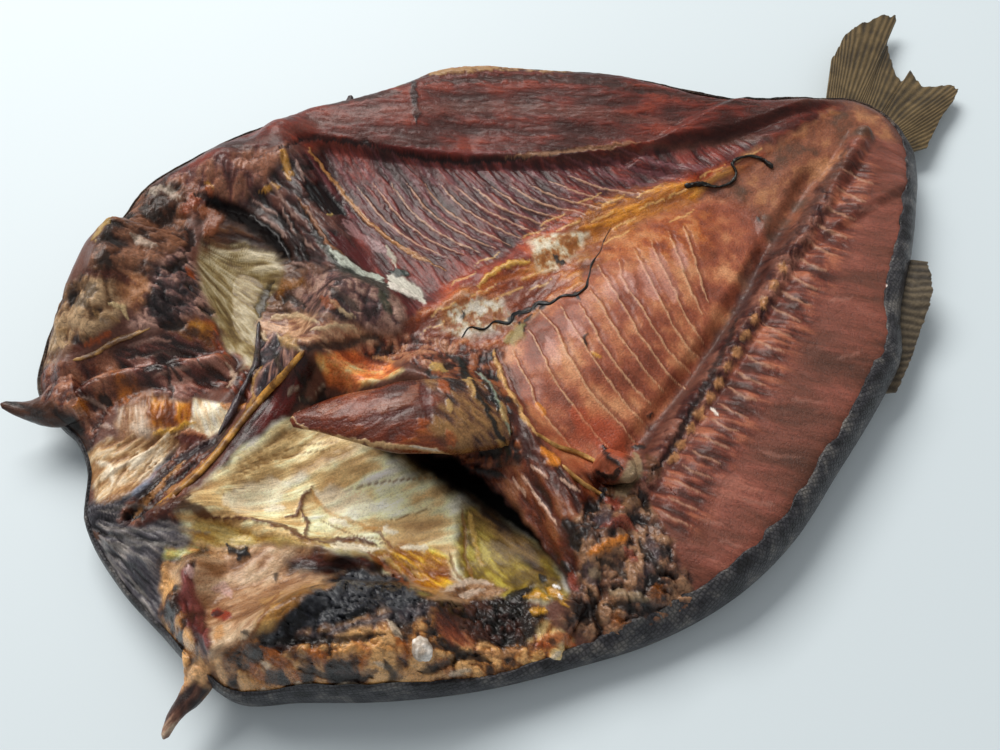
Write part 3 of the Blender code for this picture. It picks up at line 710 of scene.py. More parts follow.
FIELDS: tuple[Field, ...] = (
    Field("left loin", "38130c 511f16 67251a 873723", "150,190 230,130 310,98 400,75 490,55 590,55 700,82 "
        "800,100 845,105 790,134 720,141 640,150 560,160 470,160 420,158 380,150 330,148 283,145 250,160 "
        "200,185", Grain.FIBRE, 7.0, 0.5, 0.5, "420,120 560,125", 4.0, contrast=0.9),
    Field("left rib bed", "2f0e0b 4f1a19 65251e 8b3c32", "290,150 330,148 380,150 420,158 560,160 650,152 "
        "760,140 800,135 700,180 600,215 560,240 500,265 440,300 400,325 330,270 300,210", Grain.FIBRE,
        4.0, 0.5, 0.62, "400,150 450,205", 7.0),
    Field("tail flesh", "533e31 784a36 90573f b37b54", "700,180 790,132 835,108 880,115 905,150 850,150 "
        "830,190 790,240 765,250 755,210", Grain.CLOUD, 12.0, 0.6, 0.5, contrast=0.7),
    Field("right rib bed", "703927 975037 b46e4a d6996d", "500,350 520,330 580,280 640,225 700,195 750,205 "
        "765,240 745,290 700,360 650,430 615,480 560,480 520,420", Grain.CLOUD, 14.0, 0.5, 0.6,
        contrast=0.6),
    Field("cavity wall", "241210 3c1e18 4c261e 633a2e", "768,236 790,232 770,290 735,350 700,410 660,470 "
        "640,480 640,440 680,400 710,350 735,310 750,270", Grain.FIBRE, 4.0, 0.5, 0.6, "745,290 790,300",
        3.0, edge=12.0, contrast=1.1),
    Field("right loin", "4b2d21 6d3e30 844a3c a46654", "850,140 905,140 912,250 900,390 860,440 800,520 "
        "740,590 690,615 650,570 640,510 660,470 710,410 760,340 800,270 830,220", Grain.FIBRE, 12.0, 0.5,
        0.5, "700,440 790,470", 5.0, contrast=0.6),
    Field("backbone streaks", "431e14 632e22 7d4030 a96549", "640,500 650,455 720,370 770,290 820,215 "
        "850,150 880,160 850,250 810,330 770,400 730,470 690,540", Grain.FIBRE, 2.6, 0.7, 0.5,
        "700,430 770,462", 8.0, edge=14.0, contrast=1.1),
    Field("backbone", "351918 4f2824 693c30 8f5e4e", "618,505 625,480 655,442 700,378 745,308 785,245 "
        "822,185 836,190 806,250 768,315 722,385 680,450 645,500", Grain.CRUMPLE, 4.5, 0.9, 0.5,
        ragged=4.0, contrast=1.1),
    Field("belly fat", "683012 864218 995623 ac7437", "838,112 760,158 700,178 640,198 590,222 540,250 "
        "490,275 440,300 395,330 385,350 430,352 500,352 520,325 560,290 600,262 640,228 680,205 700,195 "
        "740,172 790,140", Grain.FIBRE, 5.0, 0.6, 0.75, "560,245 690,190", 4.0, contrast=1.1),
    Field("amber belly", "844709 a45d0e c17818 e89c36", "700,178 640,186 600,198 570,220 545,240 570,250 "
        "610,236 650,216 700,200", Grain.FIBRE, 5.0, 0.6, 0.85, "560,245 690,190", 4.0, contrast=1.1),
    Field("orange upper fillet", "752009 922f0e a63f10 b85424", "500,262 540,222 600,196 690,172 760,156 "
        "700,180 640,190 590,205 560,232 530,262 480,290 440,315 420,330 430,300 470,270", Grain.CLOUD,
        9.0, 0.4, 0.75),
    Field("orange lower fillet", "793517 9c4b1f b1612b c27f4e", "610,235 680,205 710,215 712,245 680,262 "
        "640,262 610,262 596,255", Grain.CLOUD, 8.0, 0.4, 0.7, edge=14.0, contrast=0.9),
    Field("belly end", "682607 86390c 9e4d16 c17a34", "385,350 410,318 460,290 520,262 575,262 585,285 "
        "560,300 520,318 500,352 450,350", Grain.FIBRE, 6.0, 0.8, 0.95, "430,320 540,262", 3.0,
        contrast=1.1),
    Field("white flecks", "905221 ae7641 cbb38f ddd4bd",
        "530,242 556,236 592,230 584,246 568,262 550,272 536,270", Grain.CLOUD, 5.0, 0.5, 0.7,
        contrast=1.2),
    Field("pale flecks", "834820 9d673a b8a688 cec6b8",
        "440,304 462,296 506,300 512,322 490,334 462,336 442,328", Grain.CLOUD, 5.0, 0.5, 0.7, edge=7.0,
        contrast=1.3),
    Field("left shoulder", "30191b 55302d 75443b a16b52", "160,186 215,158 285,145 305,160 300,205 280,212 "
        "250,205 215,205 195,215", Grain.CRUMPLE, 9.0, 1.4, 0.65, contrast=1.1),
    Field("left collar", "130809 2d1715 412422 684238", "235,205 290,150 312,165 335,215 360,262 400,300 "
        "340,290 300,268 290,250 270,215", Grain.FIBRE, 3.4, 1.0, 0.65, "255,190 345,280", 6.0,
        contrast=1.2),
    Field("throat", "2a1713 4b2e21 684835 8f6c59",
        "252,285 290,262 340,268 400,300 405,345 330,352 260,352", Grain.CRUMPLE, 7.0, 1.3, 0.65,
        contrast=1.2),
    Field("throat hollow", "2e1d1b 563b3c 815c54 b69383", "300,270 345,270 398,300 402,330 360,326 318,316 "
        "290,306 296,286", Grain.CRUMPLE, 6.0, 0.8, 0.75, edge=7.0, contrast=1.1),
    Field("throat film", "5a3325 8d5d46 b68967 e8bb96", "258,316 300,314 356,326 384,346 330,354 264,350",
        Grain.FIBRE, 3.4, 0.5, 0.7, "262,322 372,346", 4.0, edge=6.0, contrast=1.1),
    Field("throat gold", "421f06 5d320c 724715 8c5a26", "262,296 278,272 304,272 312,286 292,300 268,306",
        Grain.CLOUD, 5.0, 0.6, 0.8, edge=7.0),
    Field("left gill bowl", "634f32 8a7549 a5946b c7ba9b", "196,266 205,240 232,228 262,240 288,262 "
        "276,286 262,310 256,336 254,372 235,356 214,325 204,300", Grain.FAN, 2.8, 0.6, 0.55,
        "168,238 0,0", 7.0, contrast=1.1),
    # Painted shade: dark brown band at the top of the gill bowl, below the recess.
    Field("left gill brow painted shade", "200c08 331a0f 452615 5b381c",
        "200,238 222,216 250,226 284,252 262,250 232,244 206,254", Grain.FIBRE, 3.0, 0.4, 0.25,
        "205,240 280,256", 6.0, edge=7.0),
    Field("amber gill strip", "2e0b01 5a1e03 7e3005 a2450a", "180,322 200,318 214,326 236,358 256,374 "
        "248,402 222,392 205,360 190,345", Grain.FIBRE, 3.0, 0.7, 0.75, "195,320 240,385", 5.0,
        contrast=1.1),
    # Painted shade: the recess under the left shoulder, near black and without gloss.
    Field("left gill recess painted shade", "020101 020101 050201 0c0603", "198,205 215,196 255,212 288,240 302,268 "
        "284,262 252,232 222,216 200,222", Grain.FIBRE, 3.0, 0.4, 0.02, "210,205 290,262", 6.0, edge=7.0),
    Field("grey brow", "1f130c 42281c 643f2d 8e6046", "88,270 95,240 118,200 145,186 166,180 188,192 "
        "190,225 182,258 150,280 110,285", Grain.CRUMPLE, 8.0, 1.3, 0.5, contrast=1.2),
    Field("olive cheek", "31211d 5d4330 8e6a49 c2a17b", "84,268 120,275 130,300 104,330 70,352 45,368 "
        "36,350 52,312 66,285", Grain.CRUMPLE, 8.0, 1.2, 0.5, contrast=1.2),
    Field("orange cheek", "542a20 7f4c30 a66f45 ca9470", "112,282 135,272 165,284 162,306 140,312 118,304",
        Grain.CLOUD, 6.0, 0.8, 0.7, edge=7.0, contrast=1.1),
    Field("dark crumple", "1f171a 483433 73534f c49989", "158,262 185,250 200,280 208,300 217,318 195,318 "
        "165,324 140,330 128,322 150,300", Grain.CRUMPLE, 6.0, 1.6, 0.75, edge=6.0, contrast=1.3),
    Field("olive recess", "3f2002 6d3c07 925b0f b27620", "165,324 198,318 212,332 216,352 192,346 174,342",
        Grain.CLOUD, 5.0, 0.5, 0.8, edge=6.0),
    Field("snout palate", "341713 5c2d22 804a34 ad7356", "38,362 64,366 110,350 140,352 122,380 118,400 "
        "100,432 88,452 60,440 42,410 40,385", Grain.CRUMPLE, 8.0, 1.2, 0.8, contrast=1.2),
    Field("maroon lump", "1f0c0a 47231c 6b352b aa7665", "112,352 150,334 178,332 214,350 240,374 226,386 "
        "200,396 172,398 140,390 118,372", Grain.FIBRE, 4.0, 1.1, 0.95, "120,352 232,372", 4.0,
        contrast=1.2),
    Field("amber palate", "401a02 713804 98500a b86a18", "114,372 130,376 146,396 130,404 116,400",
        Grain.CLOUD, 5.0, 0.5, 0.85, edge=6.0),
    Field("cream palate", "81553a ad825f cca889 e3ccb5",
        "118,406 150,396 196,400 200,425 180,434 150,440 120,438", Grain.FIBRE, 4.0, 0.7, 0.65,
        "150,400 150,440", 4.0, contrast=1.2),
    Field("brown palate", "6c2f04 9f540a c67618 eb9f2c", "154,396 172,400 196,404 196,424 168,432 152,424",
        Grain.FIBRE, 4.0, 0.7, 0.8, "160,398 158,430", 4.0, contrast=1.1),
    Field("pale plate", "c8a172 eed0a7 fdf1d0 fdf7f7", "194,398 212,402 236,408 224,430 210,438 188,430",
        Grain.FIBRE, 3.0, 0.3, 0.5, "200,400 212,436", 6.0, edge=2.5, ragged=2.0, contrast=0.9),
    Field("mouth", "875c36 b5895b d9b789 ecdabd", "86,452 110,440 150,436 190,428 180,448 152,478 125,502 "
        "98,514 88,486", Grain.FAN, 3.0, 1.0, 0.6, "210,405 0,0", 5.0, contrast=1.2),
    Field("mouth floor", "fdb566 ffff97 ffffd8 ffffff", "150,560 165,545 200,538 235,530 290,534 240,552 "
        "200,556 168,566", Grain.FIBRE, 3.0, 0.5, 0.6, "165,556 240,540", 5.0),
    Field("grey membrane", "303943 555f6f 7d8ba4 b6c5db",
        "96,518 125,498 158,468 180,450 172,472 146,500 120,520", Grain.FIBRE, 3.0, 0.6, 0.7,
        "100,518 178,452", 6.0, edge=4.0),
    Field("chin", "232224 3c3941 5f5b60 a49c97", "66,515 86,500 120,498 150,505 210,520 245,530 222,545 "
        "170,548 160,575 168,632 110,604 80,560", Grain.FAN, 3.0, 1.2, 0.6, "72,512 0,0", 7.0,
        contrast=0.85),
    Field("mouth folds", "150506 331310 592a19 824c33", "118,518 150,480 172,452 206,438 228,438 205,472 "
        "182,500 230,520 210,530 165,522 140,530", Grain.FIBRE, 3.5, 1.6, 0.75, "130,520 220,430", 5.0,
        contrast=1.3),
    Field("arch membrane", "160101 2b0201 430601 610f04", "262,398 285,376 306,356 318,368 300,398 268,432 "
        "238,458 226,466 212,472 236,436", Grain.FIBRE, 4.0, 0.5, 0.8, "225,465 305,365", 6.0, edge=4.0),
    Field("dark brush", "1e191f 3b3339 664c4c ba8c7a", "258,330 290,340 302,352 284,372 264,396 250,408 "
        "252,380 258,350", Grain.FIBRE, 3.0, 1.2, 0.7, "262,400 285,345", 5.0, edge=4.0, contrast=1.3),
    Field("right gill bowl", "b28854 edca8d ffffcf ffffff", "176,512 230,462 286,418 340,432 400,450 "
        "470,480 530,530 575,590 545,604 480,602 430,592 330,548 250,542 190,535", Grain.FAN, 4.0, 0.5,
        0.6, "130,545 0,0", 10.0, contrast=0.7),
    Field("upper bowl", "997547 caa770 f3d59a ffffcf", "215,492 244,458 290,422 330,432 375,446 340,462 "
        "280,486 230,500", Grain.FAN, 3.0, 0.9, 0.6, "180,510 0,0", 10.0, edge=8.0, contrast=0.8),
    Field("bowl fold", "865c20 b0863a c8a858 dac37d", "196,520 230,526 300,538 390,544 385,556 340,548 "
        "290,542 240,548 190,545", Grain.FIBRE, 3.0, 0.8, 0.7, "200,530 380,548", 6.0),
    Field("orange bowl edge", "8e4f0a c78917 f3c333 ffff67", "372,548 400,545 436,548 452,570 462,590 "
        "434,596 404,582 384,566", Grain.FIBRE, 4.0, 0.9, 0.8, "380,552 440,592", 5.0, edge=6.0,
        contrast=1.1),
    Field("olive bowl", "503d0b 715a18 937d28 b7a647", "462,504 482,510 522,536 556,566 572,596 545,604 "
        "505,602 478,598 462,580 455,552", Grain.FAN, 2.4, 0.3, 0.5, "380,440 0,0", 6.0, edge=6.0,
        contrast=0.9),
    # Painted shade: brown half-shade on the bowl along the edge of the shadow under the collar.
    Field("bowl painted half-shade", "1b0e05 38240d 5a401b 7b5f2f", "352,436 400,446 450,468 500,506 540,552 560,590 "
        "540,588 500,548 455,500 405,470 365,452", Grain.FIBRE, 4.0, 0.3, 0.3, "400,450 560,570", 8.0,
        edge=12.0),
    Field("bowl shadow", "010101 020101 040101 0d0301", "375,438 430,444 480,462 530,500 582,584 566,580 "
        "520,540 470,502 420,472 385,452", Grain.FIBRE, 4.0, 0.3, 0.02, "400,450 560,570", 8.0, edge=9.0),
    Field("orange raker", "b0572d f88f4e ffbe6e ffffc3",
        "318,356 345,350 385,362 400,372 372,380 345,392 325,388", Grain.FIBRE, 4.0, 0.8, 0.8,
        "320,372 400,368", 4.0, edge=3.5),
    Field("raker roots", "2a1611 5a2d22 854733 b77f5f",
        "345,350 385,336 450,340 500,350 505,372 450,380 400,366", Grain.CRUMPLE, 5.0, 1.2, 0.8,
        contrast=1.3),
    Field("right collar", "280b04 4d1e0d 6a2f18 895231", "495,350 515,370 535,430 570,478 625,480 612,520 "
        "600,570 580,605 560,565 520,510 480,472 505,462", Grain.FIBRE, 4.0, 0.9, 0.75, "500,400 590,560",
        5.0, contrast=1.1),
    Field("crust block", "0e0605 2f140e 5a2818 965632",
        "425,372 450,362 495,350 512,395 520,465 470,470 440,440", Grain.CRUMPLE, 5.0, 1.0, 0.7,
        contrast=1.5),
    Field("right shoulder", "171011 412c22 694533 9b7354", "575,520 612,485 645,500 672,540 695,600 "
        "650,640 600,650 560,620 580,585", Grain.CRUMPLE, 6.0, 2.0, 0.75, contrast=1.4),
    Field("right half of the head", "1d110b 53331a 9a6128 e5af70", "160,560 200,545 330,552 420,592 "
        "480,602 545,610 565,645 500,695 440,706 300,712 205,708 175,660 160,610", Grain.CRUMPLE, 7.0, 1.5,
        0.9, contrast=1.4),
    Field("cream cheek", "6a4228 9c704c bf9875 d4b997", "166,566 190,556 240,548 300,546 350,560 330,580 "
        "280,602 250,635 215,660 205,630 185,590", Grain.FIBRE, 8.0, 1.0, 0.75, "190,600 260,560", 2.5,
        edge=8.0),
    Field("golden cheek", "50320a 7f521c a47333 c39a5b", "262,602 300,584 322,584 300,606 272,628 256,632",
        Grain.FIBRE, 5.0, 0.7, 0.7, "262,628 320,585", 4.0, edge=6.0),
    Field("brown jaw roof", "0e0201 220701 380f03 582007",
        "285,556 340,550 390,556 380,572 330,576 290,572", Grain.FIBRE, 5.0, 0.6, 0.7, "285,562 390,566",
        4.0, edge=7.0),
    Field("jaw meat", "40170b 6d301a 99522e c28657", "432,612 452,610 472,640 476,652 448,646 436,630",
        Grain.FIBRE, 4.0, 0.8, 0.85, "435,612 468,648", 4.0, edge=4.0),
    Field("black jaw", "040302 110604 240f0b 42241b", "420,600 460,596 510,600 530,588 528,606 520,640 "
        "500,650 470,640 445,612", Grain.CRUMPLE, 4.0, 1.6, 0.75, contrast=1.2),
    Field("tan gill edge", "472816 6a4429 886140 a47e5e",
        "428,600 452,586 490,578 508,588 500,600 462,602", Grain.CRUMPLE, 5.0, 1.0, 0.6, edge=4.0),
    Field("maroon fold", "1b0808 3b1313 5b2422 884844", "180,566 196,560 196,580 206,608 214,640 206,660 "
        "194,640 180,600", Grain.FIBRE, 4.0, 1.4, 0.75, "186,565 206,655", 5.0, edge=4.0, contrast=1.1),
    Field("black crust", "05060b 13151a 22242d 494b4f", "262,648 285,618 316,590 340,574 372,570 402,578 "
        "424,600 408,612 372,612 340,626 296,634", Grain.CRUMPLE, 3.2, 1.6, 0.6, edge=4.0, ragged=6.0),
    Field("grey crust", "121017 242129 3c363b 5f5251", "262,650 300,634 345,624 400,608 432,604 428,622 "
        "390,620 350,634 300,646", Grain.CRUMPLE, 3.6, 1.4, 0.55, edge=6.0, ragged=6.0, contrast=1.1),
    Field("snout end", "32231d 6f4c37 b28157 f5c088", "196,655 225,655 245,700 215,712 190,706 180,680",
        Grain.CRUMPLE, 6.0, 1.4, 0.6, contrast=1.2),
    Field("right spike", "241717 5e3e33 936f5c c4ae96",
        "150,744 160,722 176,700 196,678 214,690 200,712 172,736", Grain.FIBRE, 4.0, 0.3, 0.6,
        "160,738 205,690", 4.0, contrast=1.2),
    Field("left spike", "0a0301 1d0b03 331707 4d2810",
        "-10,400 20,396 50,402 80,420 92,452 60,452 20,432 -10,424", Grain.FIBRE, 3.4, 0.3, 0.7,
        "5,410 80,440", 6.0, contrast=1.2),
    Field("edge stub", "592911 985c28 c99353 f0d292", "520,690 530,640 548,624 570,634 576,660 548,680",
        Grain.CRUMPLE, 6.0, 0.8, 0.75, edge=6.0, contrast=1.1),
)

TONGUE_FIELDS: tuple[Field, ...] = (
    Field("tongue", "320d02 65250a 843812 a85e23", "270,420 300,398 345,376 400,360 450,365 520,380 "
        "540,470 480,480 400,450 340,442 290,430", Grain.FIBRE, 11.0, 0.35, 0.85, "300,420 450,395", 4.0,
        contrast=0.8),
    Field("tongue root", "1a0f0d 43271d 6a442d 976e40", "418,372 450,366 520,372 530,470 480,472 448,452 "
        "432,430 440,400", Grain.FIBRE, 5.0, 0.7, 0.9, "430,376 520,452", 3.0, edge=9.0, contrast=1.2),
)


def strokes(*rows: tuple) -> tuple[Mark, ...]:
    """Marks that share a paint, row by row.

    Args:
        rows: A mark's values in their order, but with one path or a tuple of several.

    Returns:
        A mark for each path.
    """
    return tuple(Mark(colour, width, lift, path, *rest) for colour, width, lift, paths, *rest in rows
                 for path in ((paths,) if isinstance(paths, str) else paths))


def stamped(shape: str, places: str) -> tuple[Points, ...]:
    """One small path, given by its steps across and down, laid at each of some pixels."""
    return tuple(place + pixels(shape) for place in pixels(places))


def moved(paths: tuple[Points, ...], across: float, down: float) -> tuple[Points, ...]:
    """Paths shifted by some pixels."""
    return tuple(path + np.array([across, down]) for path in paths)


RIGHT_RIBS: tuple[Points, ...] = tuple(pixels(rib) for rib in (
    "492,350 500,372 515,400 530,425 537,435",
    "512,350 520,368 530,385 536,402 548,420 565,440 575,452",
    "529,330 540,350 552,375 562,390 578,412 592,430 612,452",
    "540,311 555,328 565,350 580,375 590,392 605,408 622,425 634,442",
    "560,305 572,325 585,345 600,368 618,393 632,410 647,427",
    "578,302 588,318 600,340 615,362 635,388 652,404",
    "588,288 598,300 612,325 630,350 645,370 662,390",
    "597,265 610,285 625,308 640,335 655,355 668,375 686,390",
    "618,260 625,285 640,305 655,330 672,355 691,374",
    "633,248 645,270 655,290 668,315 682,340 700,360",
    "650,240 660,262 672,285 688,320 704,344",
    "668,232 678,255 688,285 702,314",
    "683,225 692,250 698,272 708,302",
))


def between_ribs(ribs: tuple[str, ...], shares: np.ndarray) -> tuple[Points, ...]:
    """Ribs interpolated smoothly through a few that are given, from the first, 0, to the last, 1.

    Args:
        ribs: The given ribs, as pixels.
        shares: Where the wanted ribs lie between them.

    Returns:
        A path for each wanted rib.
    """
    lines = np.array([pixels(rib) for rib in ribs])
    order = np.arange(len(lines)) * 40.0
    spots = [[curve_through(np.column_stack([lines[:, at, axis], order]), shares)[:, 0]
              for axis in range(2)] for at in range(lines.shape[1])]
    return tuple(np.moveaxis(np.array(spots), -1, 0))


LEFT_RIB_GUIDES: tuple[str, ...] = (
    "300,160 322,194 346,222 378,244 412,262",
    "336,146 366,184 389,214 422,240 458,256",
    "377,150 407,182 428,210 460,230 503,247",
    "411,157 449,187 482,208 506,220 530,230",
    "460,162 500,184 530,198 555,206 575,210",
    "530,158 565,172 594,182 618,187 640,188",
    "620,148 650,158 676,164 700,166 720,164",
)
LEFT_RIBS: tuple[Points, ...] = tuple(rib[1:] for rib in between_ribs(LEFT_RIB_GUIDES,
                                                                      np.linspace(0.06, 0.78, 14)))
LEFT_FAN: tuple[Points, ...] = between_ribs(LEFT_RIB_GUIDES, np.linspace(0.02, 1.0, 44))

